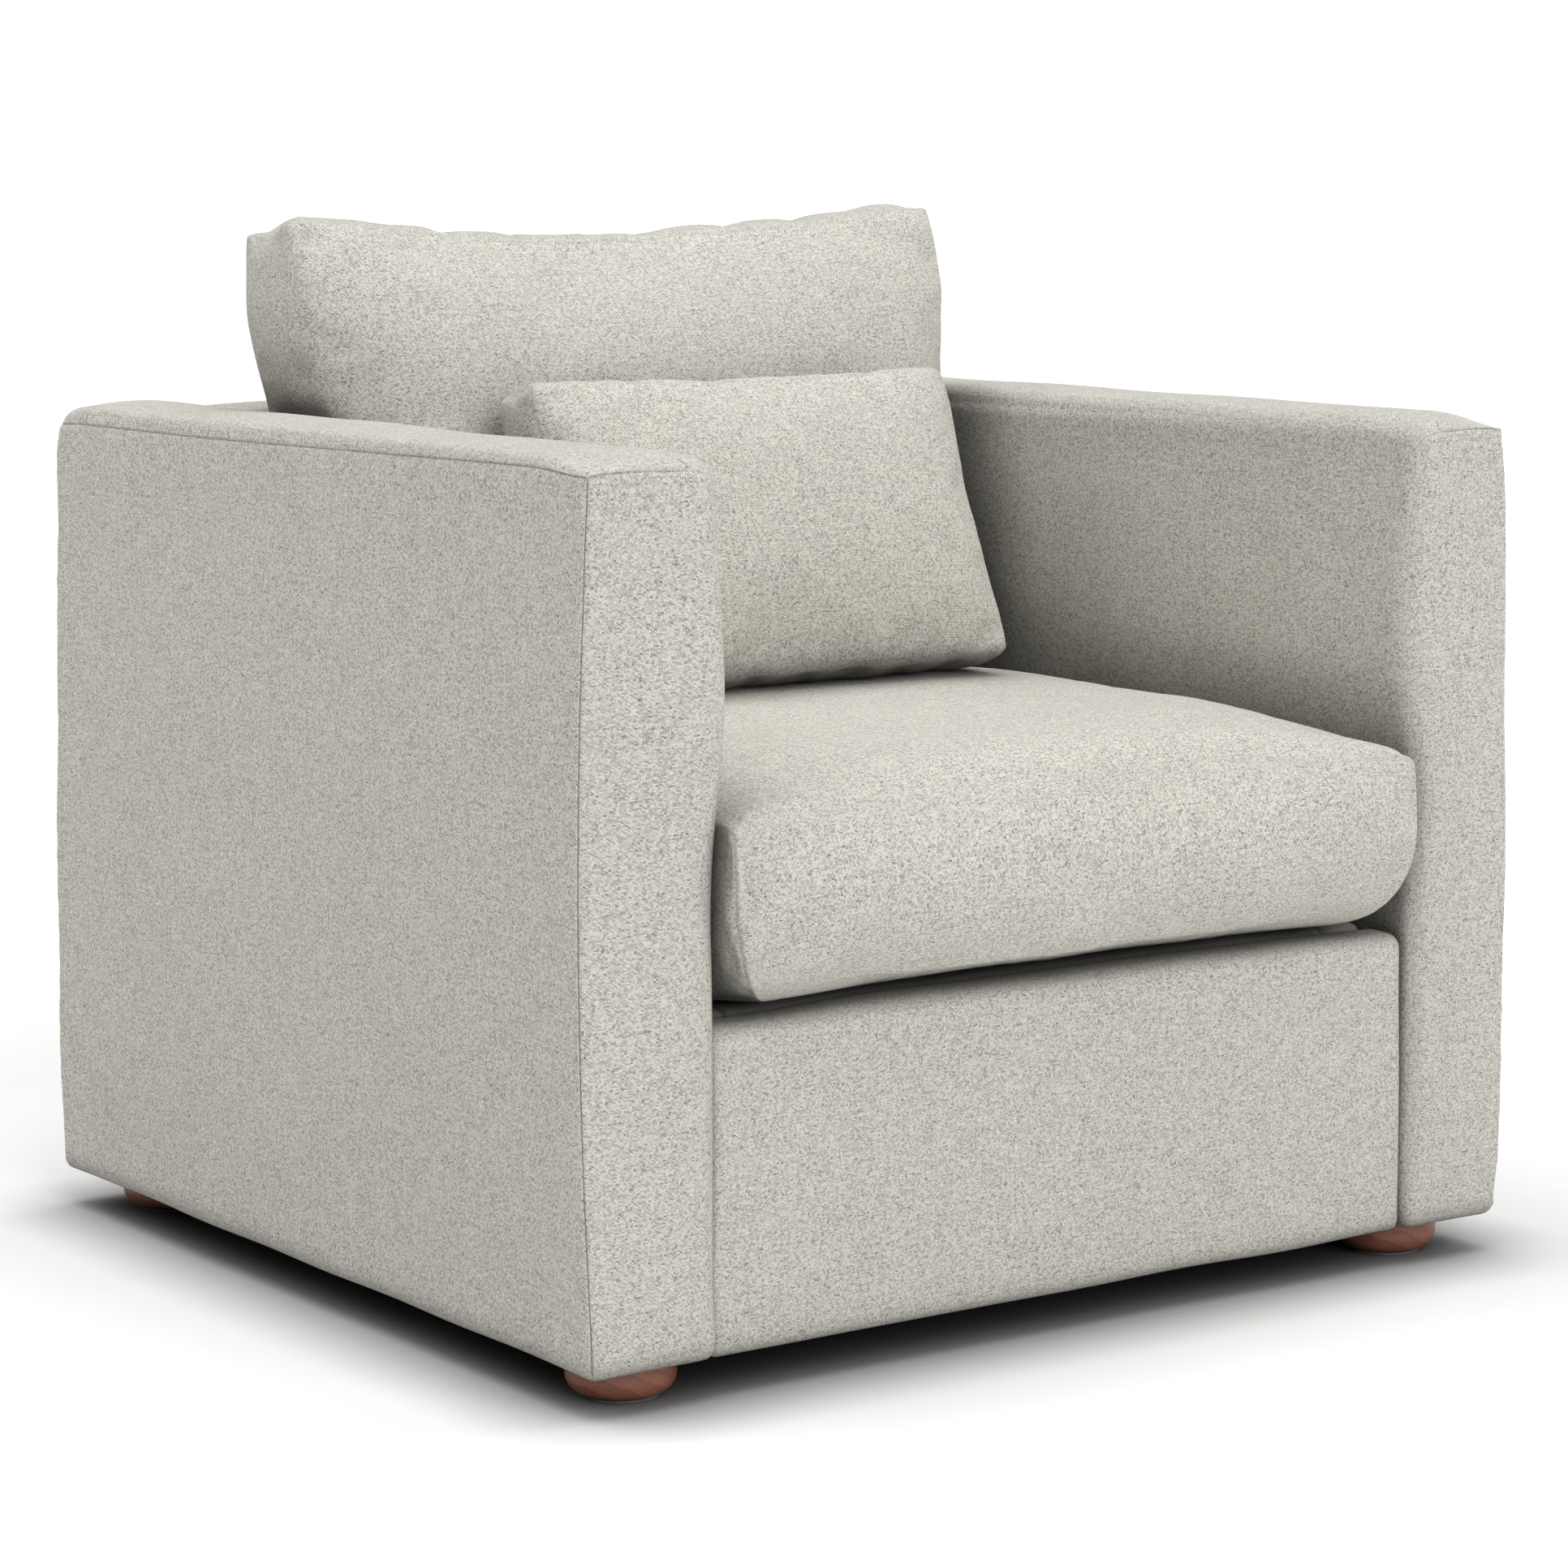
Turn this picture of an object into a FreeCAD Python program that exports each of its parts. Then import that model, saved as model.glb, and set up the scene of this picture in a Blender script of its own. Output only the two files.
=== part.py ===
import FreeCAD, Part
import math
import os
import re
import Sketcher
from FreeCAD import Placement, Rotation, Vector

# Upholstered armchair, millimetres. The origin is on the floor under the middle of the chair.
# +X is the right-hand side as seen from the front, -Y is the front, +Z is up.

DIMENSIONS = {
    # outer body
    "body_width": 930,
    "body_depth": 893,
    "body_rear": 471,
    "arm_top": 724,
    "arm_width": 110,
    "arm_round": 30,
    "side_swell": 5,
    "underside": 36,
    # cloth, the small gaps between neighbouring layers, and how far a cutting tool runs past its cut
    "cloth": 1.6,
    "gap": 0.2,
    "clearance": 1,
    "overrun": 20,
    # wooden frame
    "board": 22,
    "frame_bottom": 38,
    "base_rail_top": 258,
    "frame_top": 690,
    "tack_rail_low": 300,
    "tack_rail_high": 360,
    "foam_side": 10,
    "rear_rail_front": 300,
    "rear_rail_low": 200,
    "slat_width": 60,
    "block_length": 98,
    # inside back, which leans rearward
    "back_thickness": 109,
    "back_slope": 0.1673,
    "back_foam": 40,
    "strap_thick": 2.2,
    "strap_width": 50,
    "strap_spacing": 130,
    # front rail upholstery
    "rail_recess": 15,
    "rail_top": 288,
    "rail_foam": 12,
    "rail_round": 10,
    # seat suspension
    "spring_spacing": 120,
    "spring_pitch": 21,
    "spring_bar": 30,
    "spring_wire": 3.6,
    "spring_height": 262,
    "clip_width": 24,
    "clip_depth": 16,
    "clip_height": 8,
    "tie_wire": 2.5,
    "tie_length": 620,
    "tie_front": -160,
    "tie_rear": 90,
    "deck_setback": 11,
    "felt_low": 266.6,
    "felt_thick": 3,
    "deck_top": 297,
    # bun feet and what holds them on
    "foot_diameter": 88,
    "foot_inset": 66,
    "foot_round": 16,
    "foot_bore_depth": 22,
    "glide_diameter": 62,
    "glide_thick": 2,
    "bolt_diameter": 8,
    "bolt_length": 46,
    "nut_barrel": 11,
    "nut_flange": 24,
    "nut_plate": 1.5,
    "screw_diameter": 5,
    "screw_length": 40,
    "screw_inset": 19.6,
    # seat cushion
    "seat_width": 704,
    "seat_front": 471,
    "seat_rear": 288,
    "seat_low": 297.6,
    "seat_high": 478,
    "seat_crest_back": 60,
    "seat_crest_drop": 4,
    "seat_nose_back": 17,
    "seat_nose_drop": 22,
    "seat_face_back": 3,
    "seat_face_drop": 62,
    "seat_face_low": 34,
    "seat_curl_back": 8,
    "seat_curl_rise": 12,
    "seat_lip_back": 34,
    # back cushion
    "back_cushion_width": 690,
    "back_cushion_low": 485,
    "back_cushion_high": 896,
    "back_cushion_gap": 3,
    "back_heel_rise": 20,
    "back_swell_y": 352,
    "back_swell_z": 810,
    "back_rear_top_y": 322,
    "back_rear_top_drop": 18,
    "back_crest_y": 292,
    "back_crest_drop": 2,
    "back_front_top_y": 258,
    "back_belly_y": 140,
    "back_belly_z": 715,
    "back_front_low_y": 98,
    "back_front_low_rise": 25,
    "back_toe_y": 104,
    "back_toe_rise": 8,
    "back_sole_y": 122,
    "back_zip_y": 210,
    # lumbar pillow
    "pillow_width": 452,
    "pillow_front_low_y": -40,
    "pillow_front_low_z": 503,
    "pillow_rear_low_y": 12,
    "pillow_rear_low_z": 486,
    "pillow_rear_middle_y": 89,
    "pillow_rear_middle_z": 601,
    "pillow_rear_high_y": 105,
    "pillow_rear_high_z": 736,
    "pillow_front_high_y": 53,
    "pillow_front_high_z": 754,
    "pillow_front_middle_y": -23,
    "pillow_front_middle_z": 640,
    # zips
    "zip_length": 560,
    "zip_end": 5,
    "zip_tape": 26,
    "zip_tape_thick": 1.3,
    "zip_coil": 4.4,
    "slider_length": 12,
    "slider_width": 14,
    "slider_depth": 4.6,
    "slider_play": 0.3,
    "slider_start": 8,
    "pull_length": 24,
    "pull_width": 5,
    "pull_thick": 1.2,
}

doc = FreeCAD.newDocument("armchair")
sheet = doc.addObject("Spreadsheet::Sheet", "dims")
for row, (alias, value) in enumerate(DIMENSIONS.items(), start=1):
    sheet.set(f"A{row}", alias)
    sheet.set(f"B{row}", str(value))
    sheet.setAlias(f"B{row}", alias)
doc.recompute()

ALIAS = re.compile(r"\b(" + "|".join(sorted(DIMENSIONS, key=len, reverse=True)) + r")\b")
nodes = []


def linked(text):
    """The expression text with each dimension written as a reference to its sheet cell."""
    return ALIAS.sub(r"dims.\1", str(text))


def size(text):
    """The value in millimetres of an expression of sheet dimensions."""
    return float(sheet.evalExpression(linked(text)))


def bind(item, **properties):
    """Bind properties of a document object to expressions of sheet dimensions."""
    for name, text in properties.items():
        item.setExpression(name, linked(text))
    return item


def move(item, x="0", y="0", z="0"):
    for axis, text in zip("xyz", (x, y, z)):
        item.setExpression(f"Placement.Base.{axis}", linked(text))
    return item


def node(item, label):
    """Mark a document object as a finished sub-part with its own label."""
    item.Label = label
    nodes.append(item)
    return item


def box(name, x, y, z):
    """A box between (low, high) pairs of expressions on each axis."""
    item = doc.addObject("Part::Box", name)
    bind(item, Length=f"({x[1]}) - ({x[0]})", Width=f"({y[1]}) - ({y[0]})", Height=f"({z[1]}) - ({z[0]})")
    return move(item, x[0], y[0], z[0])


def cylinder(name, diameter, length, x="0", y="0", z="0", along=None):
    item = doc.addObject("Part::Cylinder", name)
    bind(item, Radius=f"({diameter}) / 2", Height=length)
    if along:
        item.Placement.Rotation = Rotation(Vector(0, 0, 1), along)
    return move(item, x, y, z)


def cut(name, base, *tools):
    for count, tool in enumerate(tools):
        item = doc.addObject("Part::Cut", name if tool is tools[-1] else f"{name}_step{count}")
        item.Base = base
        item.Tool = tool
        base = item
    return base


def fuse(name, base, tool):
    item = doc.addObject("Part::Fuse", name)
    item.Base = base
    item.Tool = tool
    return item


def group(name, items):
    item = doc.addObject("Part::Compound", name)
    item.Links = items
    return item


def grown(name, source, amount):
    """The source solid with every face moved outward by amount, or inward where it is negative."""
    item = doc.addObject("Part::Offset", name)
    item.Source = source
    item.Join = 2
    bind(item, Value=amount)
    return item


def on_side(side, low, high):
    """The (low, high) X pair on the +1 or -1 side of the chair."""
    if side > 0:
        return low, high
    return f"-({high})", f"-({low})"


def body_on(name, role):
    body = doc.addObject("PartDesign::Body", name)
    plane = next(item for item in body.Origin.OriginFeatures if item.Role == role)
    sketch = body.newObject("Sketcher::SketchObject", f"{name}_sketch")
    sketch.AttachmentSupport = (plane, [""])
    sketch.MapMode = "FlatFace"
    return body, sketch


def pin_point(sketch, geometry, end, point):
    """Hold one end of a piece of sketch geometry at a point given by two expressions."""
    for kind, text in zip(("DistanceX", "DistanceY"), point):
        index = sketch.addConstraint(Sketcher.Constraint(kind, -1, 1, geometry, end, size(text)))
        sketch.setExpression(f"Constraints[{index}]", linked(text))


def draw(sketch, outline):
    """Draw a closed outline. An entry of three texts is a point that an arc passes through."""
    count = len(outline)
    place = [Vector(size(point[0]), size(point[1]), 0) for point in outline]
    corners = [index for index in range(count) if len(outline[index]) == 2]
    for start in corners:
        following = (start + 1) % count
        if len(outline[following]) == 2:
            line = sketch.addGeometry(Part.LineSegment(place[start], place[following]))
            pin_point(sketch, line, 1, outline[start])
            pin_point(sketch, line, 2, outline[following])
            continue
        end = (start + 2) % count
        curve = Part.Arc(place[start], place[following], place[end])
        arc = sketch.addGeometry(curve)
        starts_first = sketch.getPoint(arc, 1).distanceToPoint(place[start]) < 0.001
        pin_point(sketch, arc, 1 if starts_first else 2, outline[start])
        pin_point(sketch, arc, 2 if starts_first else 1, outline[end])
        middle = sketch.addGeometry(Part.Point(place[following]), True)
        pin_point(sketch, middle, 1, outline[following][:2])
        sketch.addConstraint(Sketcher.Constraint("PointOnObject", middle, 1, arc))


def pad(body, sketch, length, both_ways=False):
    feature = body.newObject("PartDesign::Pad", f"{body.Name}_pad")
    feature.Profile = sketch
    feature.SideType = "Symmetric" if both_ways else "One side"
    bind(feature, Length=length)
    return feature


def round_edges(body, radius, wanted):
    """Round the body's edges for which wanted(edge) is true."""
    doc.recompute()
    base = body.Tip
    names = [f"Edge{index}" for index, edge in enumerate(base.Shape.Edges, start=1) if wanted(edge)]
    feature = body.newObject("PartDesign::Fillet", f"{body.Name}_round")
    feature.Base = (base, names)
    bind(feature, Radius=radius)
    return feature


def across(name, outline, width):
    """A side profile, drawn as (y, z) points, carried across the chair evenly about its middle."""
    body, sketch = body_on(name, "YZ_Plane")
    draw(sketch, outline)
    pad(body, sketch, width, both_ways=True)
    return body


def runs_across_at(*points):
    """A test for straight edges along X that pass through one of the given (y, z) points."""
    def wanted(edge):
        middle = edge.CenterOfMass
        flat = edge.BoundBox.YLength + edge.BoundBox.ZLength < 0.01
        near = any(math.hypot(middle.y - y, middle.z - z) < 0.05 for y, z in points)
        return flat and near
    return wanted


def back_face(height, offset=0):
    """Y of the leaning inside back at a height, moved rearward by an offset."""
    return f"(body_rear - back_thickness - (arm_top - ({height})) * back_slope + ({offset}))"


HALF = "body_width / 2"
FRONT = "body_rear - body_depth"
ARM_INNER = f"({HALF} - arm_width)"
LINING = "(cloth + gap)"
SIDE_INNER = f"({HALF} - {LINING})"
POST_INNER = f"({ARM_INNER} + {LINING} + foam_side + gap)"
POST_FRONT = f"({FRONT} + {LINING} + foam_side + gap)"
POST_REAR = "(body_rear - cloth - 2 * gap)"
STRAP_LOW = back_face("tack_rail_high", f"{LINING} + back_foam")
STRAP_HIGH = back_face("frame_top", f"{LINING} + back_foam")
RAIL_FACE = f"({FRONT} + rail_recess)"
RAIL_BOARD = f"({RAIL_FACE} + {LINING} + rail_foam)"
BETWEEN_ARMS = f"({ARM_INNER} - gap)"


def frame_side(side, word):
    """Posts and rails of one arm."""
    x_post = on_side(side, POST_INNER, f"{SIDE_INNER} - gap")
    x_outer = on_side(side, f"{SIDE_INNER} - gap - board", f"{SIDE_INNER} - gap")
    x_tack = on_side(side, POST_INNER, f"{POST_INNER} + board")
    between = (f"{POST_FRONT} + board", f"{POST_REAR} - board")
    upright = ("frame_bottom", "frame_top")
    front_post = box(f"front_post_{word}", x_post, (POST_FRONT, f"{POST_FRONT} + board"), upright)
    rear_post = box(f"rear_post_{word}", x_post, (f"{POST_REAR} - board", POST_REAR), upright)
    top_rail = box(f"top_rail_{word}", x_post, between, ("frame_top - board", "frame_top"))
    tack_rail = box(f"tack_rail_{word}", x_tack, between, ("tack_rail_low", "tack_rail_high"))
    side_rail = box(f"side_rail_{word}", x_outer, between, ("frame_bottom", "base_rail_top"))
    node(front_post, f"arm_front_post_{word}")
    node(rear_post, f"arm_rear_post_{word}")
    node(top_rail, f"arm_top_rail_{word}")
    node(tack_rail, f"arm_tack_rail_{word}")
    node(side_rail, f"base_side_rail_{word}")


def frame_cross():
    """Rails that tie the two arms together, and the middle slat of the back."""
    reach = (f"-{POST_INNER} + gap", f"{POST_INNER} - gap")
    wide = (f"-{SIDE_INNER} + board + 2 * gap", f"{SIDE_INNER} - board - 2 * gap")
    low_face = f"({STRAP_LOW} + strap_thick + gap)"
    high_face = f"({STRAP_HIGH} + strap_thick + gap)"
    rear = f"{POST_REAR} - board - gap"
    front_rail = box("front_rail", reach, (RAIL_BOARD, f"{RAIL_BOARD} + board"),
                     ("frame_bottom", "base_rail_top"))
    back_rail = box("back_rail", reach, (f"{POST_REAR} - board", POST_REAR),
                    ("frame_bottom", "base_rail_top"))
    spring_rail = box("spring_rail", wide, ("rear_rail_front", "rear_rail_front + board"),
                      ("rear_rail_low", "base_rail_top"))
    lower_rail = box("lower_rail", reach, (low_face, f"{low_face} + board"),
                     ("tack_rail_low", "tack_rail_high"))
    top_rail = box("back_rail_top", reach, (high_face, rear), ("frame_top - board", "frame_top"))
    slat = across("slat", [
        (low_face, "tack_rail_high + gap"),
        (f"{low_face} + board", "tack_rail_high + gap"),
        (f"{high_face} + board", "frame_top - board - gap"),
        (high_face, "frame_top - board - gap"),
    ], "slat_width")
    node(front_rail, "base_front_rail")
    node(back_rail, "base_back_rail")
    node(spring_rail, "seat_spring_rail")
    node(lower_rail, "back_lower_rail")
    node(top_rail, "back_top_rail")
    node(slat, "back_centre_slat")


def back_straps():
    """Four upright webbing straps tacked to the two back rails, in front of them."""
    straps = []
    for number, steps in enumerate((-1.5, -0.5, 0.5, 1.5), start=1):
        thick = "strap_thick"
        strap = across(f"strap_{number}", [
            (STRAP_LOW, "tack_rail_low"),
            (f"{STRAP_LOW} + {thick}", "tack_rail_low"),
            (f"{STRAP_LOW} + {thick}", "tack_rail_high"),
            (f"{STRAP_HIGH} + {thick}", "frame_top - board"),
            (f"{STRAP_HIGH} + {thick}", "frame_top"),
            (STRAP_HIGH, "frame_top"),
            (STRAP_HIGH, "frame_top - board"),
            (STRAP_LOW, "tack_rail_high"),
        ], "strap_width")
        move(strap, f"{steps} * strap_spacing")
        straps.append(strap)
    node(group("straps", straps), "back_webbing_straps")


def foot_centres():
    """The four foot axes as (label, side, x, y)."""
    reach = f"({HALF} - foot_inset)"
    front = f"({FRONT} + foot_inset)"
    rear = "(body_rear - foot_inset)"
    for end, y in (("front", front), ("rear", rear)):
        for word, side in (("left", -1), ("right", 1)):
            yield f"{end}_{word}", side, f"{side} * {reach}", y


def foot_fixings():
    """Corner blocks, their screws, and the T-nuts and bolts that hold the feet."""
    blocks = []
    screws = []
    nuts = []
    bolts = []
    top = "(frame_bottom + board)"
    for label, side, x, y in foot_centres():
        rear = label.startswith("rear")
        low_y = f"{POST_REAR} - board - gap - block_length" if rear else f"{POST_FRONT} + board + gap"
        span = on_side(side, f"{POST_INNER} + gap", f"{SIDE_INNER} - board - 2 * gap")
        whole = box(f"block_{label}", span, (low_y, f"{low_y} + block_length"), ("frame_bottom", top))
        bore = cylinder(f"block_bore_{label}", "nut_barrel", "board + 2 * overrun",
                        x, y, "frame_bottom - overrun")
        blocks.append(cut(f"drilled_block_{label}", whole, bore))

        barrel_low = "frame_bottom + board / 2"
        barrel = cylinder(f"nut_barrel_{label}", "nut_barrel", "board / 2 + nut_plate", x, y, barrel_low)
        flange = cylinder(f"nut_flange_{label}", "nut_flange", "nut_plate", x, y, top)
        thread = cylinder(f"nut_thread_{label}", "bolt_diameter", "board + overrun", x, y, "frame_bottom")
        nuts.append(cut(f"nut_{label}", fuse(f"nut_blank_{label}", barrel, flange), thread))
        bolts.append(cylinder(f"bolt_{label}", "bolt_diameter", "bolt_length",
                              x, y, "underside - foot_bore_depth"))

        start = f"{side} * ({SIDE_INNER} - gap - board / 2)"
        for number, along in enumerate(("screw_inset", "block_length - screw_inset"), start=1):
            screws.append(cylinder(f"screw_{label}_{number}", "screw_diameter", "screw_length",
                                   start, f"{low_y} + {along}", "frame_bottom + board / 2",
                                   along=Vector(-side, 0, 0)))
    node(group("blocks", blocks), "corner_blocks")
    node(group("screws", screws), "corner_block_screws")
    node(group("nuts", nuts), "foot_t_nuts")
    node(group("bolts", bolts), "foot_hanger_bolts")


ARC_MIDDLE = round(1 - math.sqrt(0.5), 4)


def feet():
    """Turned bun feet with a rounded lower edge, each on a felt glide."""
    glides = []
    for label, side, x, y in foot_centres():
        body, sketch = body_on(f"bun_{label}", "XZ_Plane")
        low = "glide_thick + gap"
        bore = "bolt_diameter / 2"
        ledge = "underside - foot_bore_depth"
        draw(sketch, [
            ("0", low),
            ("foot_diameter / 2 - foot_round", low),
            (f"foot_diameter / 2 - foot_round * {ARC_MIDDLE}", f"{low} + foot_round * {ARC_MIDDLE}", "arc"),
            ("foot_diameter / 2", f"{low} + foot_round"),
            ("foot_diameter / 2", "underside"),
            (bore, "underside"),
            (bore, ledge),
            ("0", ledge),
        ])
        turned = body.newObject("PartDesign::Revolution", f"turned_{label}")
        turned.Profile = sketch
        turned.ReferenceAxis = (sketch, ["V_Axis"])
        turned.Angle = 360
        move(body, x, y)
        node(body, f"foot_{label}")
        glides.append(cylinder(f"glide_{label}", "glide_diameter", "glide_thick", x, y))
    node(group("glides", glides), "foot_glides")


def zigzag_spring(number, x):
    """A sinuous spring: straight bars across the wire's run, joined by half-round bends."""
    pitch = size("spring_pitch")
    half_bar = size("spring_bar") / 2
    start = size(f"{RAIL_BOARD} + board / 2")
    finish = size("rear_rail_front + board / 2")
    spaces = round((finish - start) / pitch)
    pitch = (finish - start) / spaces
    height = size("spring_height")
    edges = []
    for turn in range(spaces + 1):
        y = start + turn * pitch
        way = 1 if turn % 2 == 0 else -1
        near = Vector(-way * half_bar, y, height)
        far = Vector(way * half_bar, y, height)
        edges.append(Part.LineSegment(near, far).toShape())
        if turn < spaces:
            crest = Vector(way * (half_bar + pitch / 2), y + pitch / 2, height)
            edges.append(Part.Arc(far, crest, Vector(way * half_bar, y + pitch, height)).toShape())
    path = Part.Wire(edges)
    first = Vector(-half_bar, start, height)
    section = Part.Wire(Part.Circle(first, Vector(1, 0, 0), size("spring_wire") / 2).toShape())
    spring = doc.addObject("Part::Feature", f"spring_{number}")
    spring.Shape = path.makePipeShell([section], True, False)
    spring.Placement = Placement(Vector(x, 0, 0), Rotation())
    expected = math.pi * (size("spring_wire") / 2) ** 2 * path.Length
    if abs(spring.Shape.Volume - expected) > 0.02 * expected:
        raise RuntimeError(f"spring {number} has volume {spring.Shape.Volume:.0f}, not {expected:.0f}")
    return spring


def suspension():
    """Five sinuous springs in clips on the rails, tied together and covered with felt."""
    clips = []
    for number in range(1, 6):
        x = (number - 3) * size("spring_spacing")
        node(zigzag_spring(number, x), f"seat_spring_{number}")
        for end, y in (("front", f"{RAIL_BOARD} + board / 2"), ("rear", "rear_rail_front + board / 2")):
            centre = f"{number - 3} * spring_spacing"
            low = "base_rail_top + gap"
            block = box(f"clip_{end}_{number}", (f"{centre} - clip_width / 2", f"{centre} + clip_width / 2"),
                        (f"{y} - clip_depth / 2", f"{y} + clip_depth / 2"), (low, f"{low} + clip_height"))
            seat = cylinder(f"clip_seat_{end}_{number}", "spring_wire + 2 * gap", "clip_width + 2 * gap",
                            f"{centre} - clip_width / 2 - gap", y, "spring_height", along=Vector(1, 0, 0))
            clips.append(cut(f"clip_bored_{end}_{number}", block, seat))
    node(group("clips", clips), "spring_clips")
    below = "spring_height - spring_wire / 2 - tie_wire / 2 - gap"
    ties = [cylinder(f"tie_{place}", "tie_wire", "tie_length", "-tie_length / 2", y, below,
                     along=Vector(1, 0, 0))
            for place, y in (("front", "tie_front"), ("rear", "tie_rear"))]
    node(group("ties", ties), "spring_tie_wires")
    span = (f"-{BETWEEN_ARMS} + clearance", f"{BETWEEN_ARMS} - clearance")
    depth = (f"{RAIL_BOARD} + board + 2 * gap", "rear_rail_front - deck_setback")
    felt = box("felt", span, depth, ("felt_low", "felt_low + felt_thick"))
    foam = box("deck_foam", span, depth, ("felt_low + felt_thick + gap", f"deck_top - {LINING}"))
    cover = box("deck", span, depth, ("deck_top - cloth", "deck_top"))
    node(felt, "spring_felt")
    node(foam, "seat_deck_pad")
    node(cover, "seat_deck_cloth")


def arm_block(name, side, inset, rear, radius):
    """A block the shape of one arm, inset from its cloth faces, with its two inner edges rounded.
    It is a tool for cutting where radius is 0 or where it runs past the arm's outer side."""
    body, sketch = body_on(name, "XY_Plane")
    inner = f"{ARM_INNER} + {inset[0]}"
    outer = inset[3]
    x = on_side(side, inner, outer)
    front = f"{FRONT} + {inset[1]}"
    draw(sketch, [(x[0], front), (x[1], front), (x[1], rear), (x[0], rear)])
    pad(body, sketch, f"arm_top - ({inset[2]}) - ({inset[4]})")
    move(body, "0", "0", inset[4])
    if radius:
        face = side * size(inner)
        high = size(f"arm_top - ({inset[2]}) - ({inset[4]})")
        start = size(front)

        def wanted(edge):
            middle = edge.CenterOfMass
            on_face = abs(middle.x - face) < 0.05
            return on_face and (abs(middle.z - high) < 0.05 or abs(middle.y - start) < 0.05)
        round_edges(body, radius, wanted)
    return body


def arm_upholstery(side, word):
    """One arm's foam, the cloth round its inner side, top and front, and its side panel."""
    beyond = f"{HALF} + overrun"
    rear = f"({POST_REAR} + gap)"
    past_rear = f"{rear} + overrun"
    below = "underside - overrun"
    cloth_out = arm_block(f"cloth_out_{word}", side, ("0", "0", "0", SIDE_INNER, "underside"),
                          rear, "arm_round")
    cloth_in = arm_block(f"cloth_in_{word}", side, ("cloth", "cloth", "cloth", beyond, below),
                         past_rear, "arm_round - cloth")
    foam_out = arm_block(f"foam_out_{word}", side, (LINING, LINING, LINING, SIDE_INNER, "frame_bottom"),
                         rear, f"arm_round - {LINING}")
    shell = f"({LINING} + foam_side)"
    foam_in = arm_block(f"foam_in_{word}", side, (shell, shell, "arm_top - frame_top - gap", beyond, below),
                        past_rear, None)
    # The inner side stops at the tack rail below and at the inside back behind.
    across_face = on_side(side, f"{ARM_INNER} - clearance", f"{POST_INNER} - gap / 2")
    under = box(f"under_{word}", across_face, (f"{RAIL_FACE} + 2", rear), (below, "tack_rail_low - 2"))
    behind = box(f"behind_{word}", across_face, (f"{STRAP_LOW} - overrun / 2", past_rear),
                 (below, "frame_top + gap"))
    node(cut(f"arm_cloth_{word}", cloth_out, cloth_in, under, behind), f"arm_cover_{word}")
    node(cut(f"arm_foam_{word}", foam_out, foam_in, under, behind), f"arm_pad_{word}")

    body, sketch = body_on(f"panel_{word}", "XY_Plane")
    edge = f"{side} * {HALF}"
    inside = f"{side} * ({SIDE_INNER} + gap)"
    draw(sketch, [
        (inside, FRONT),
        (edge, FRONT),
        (f"{side} * ({HALF} + side_swell)", f"(body_rear + {FRONT}) / 2", "arc"),
        (edge, POST_REAR),
        (inside, POST_REAR),
    ])
    pad(body, sketch, "arm_top - underside - clearance")
    move(body, "0", "0", "underside")
    node(body, f"arm_side_panel_{word}")


def back_upholstery():
    """Foam and cloth over the leaning inside back, and the panel behind it."""
    low = "tack_rail_low - 3"
    rear = f"({POST_REAR} + gap)"
    in_top = "(arm_top - cloth)"
    cloth = across("back_cloth", [
        (back_face(low), low),
        (back_face("arm_top"), "arm_top"),
        (rear, "arm_top"),
        (rear, in_top),
        (back_face(in_top, "cloth"), in_top),
        (back_face(low, "cloth"), low),
    ], f"2 * {BETWEEN_ARMS}")
    outer = (size(back_face("arm_top")), size("arm_top"))
    round_edges(cloth, "arm_round", runs_across_at(outer))
    inner = (size(back_face(in_top, "cloth")), size(in_top))
    round_edges(cloth, "arm_round - cloth", runs_across_at(inner))
    node(cloth, "back_inner_cover")

    foam_top = f"(arm_top - {LINING})"
    foam = across("back_foam_block", [
        (back_face("tack_rail_low", LINING), "tack_rail_low"),
        (back_face(foam_top, LINING), foam_top),
        (rear, foam_top),
        (rear, "frame_top + gap"),
        (f"{STRAP_HIGH} - gap", "frame_top + gap"),
        (f"{STRAP_HIGH} - gap", "frame_top - board"),
        (f"{STRAP_LOW} - gap", "tack_rail_high"),
        (f"{STRAP_LOW} - gap", "tack_rail_low"),
    ], f"2 * {BETWEEN_ARMS} - 2")
    crest = (size(back_face(foam_top, LINING)), size(foam_top))
    round_edges(foam, f"arm_round - {LINING}", runs_across_at(crest))
    node(foam, "back_pad")

    panel = box("rear_panel", (f"-{HALF}", HALF), ("body_rear - cloth", "body_rear"),
                ("underside", "arm_top - clearance"))
    node(panel, "back_outer_panel")


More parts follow.
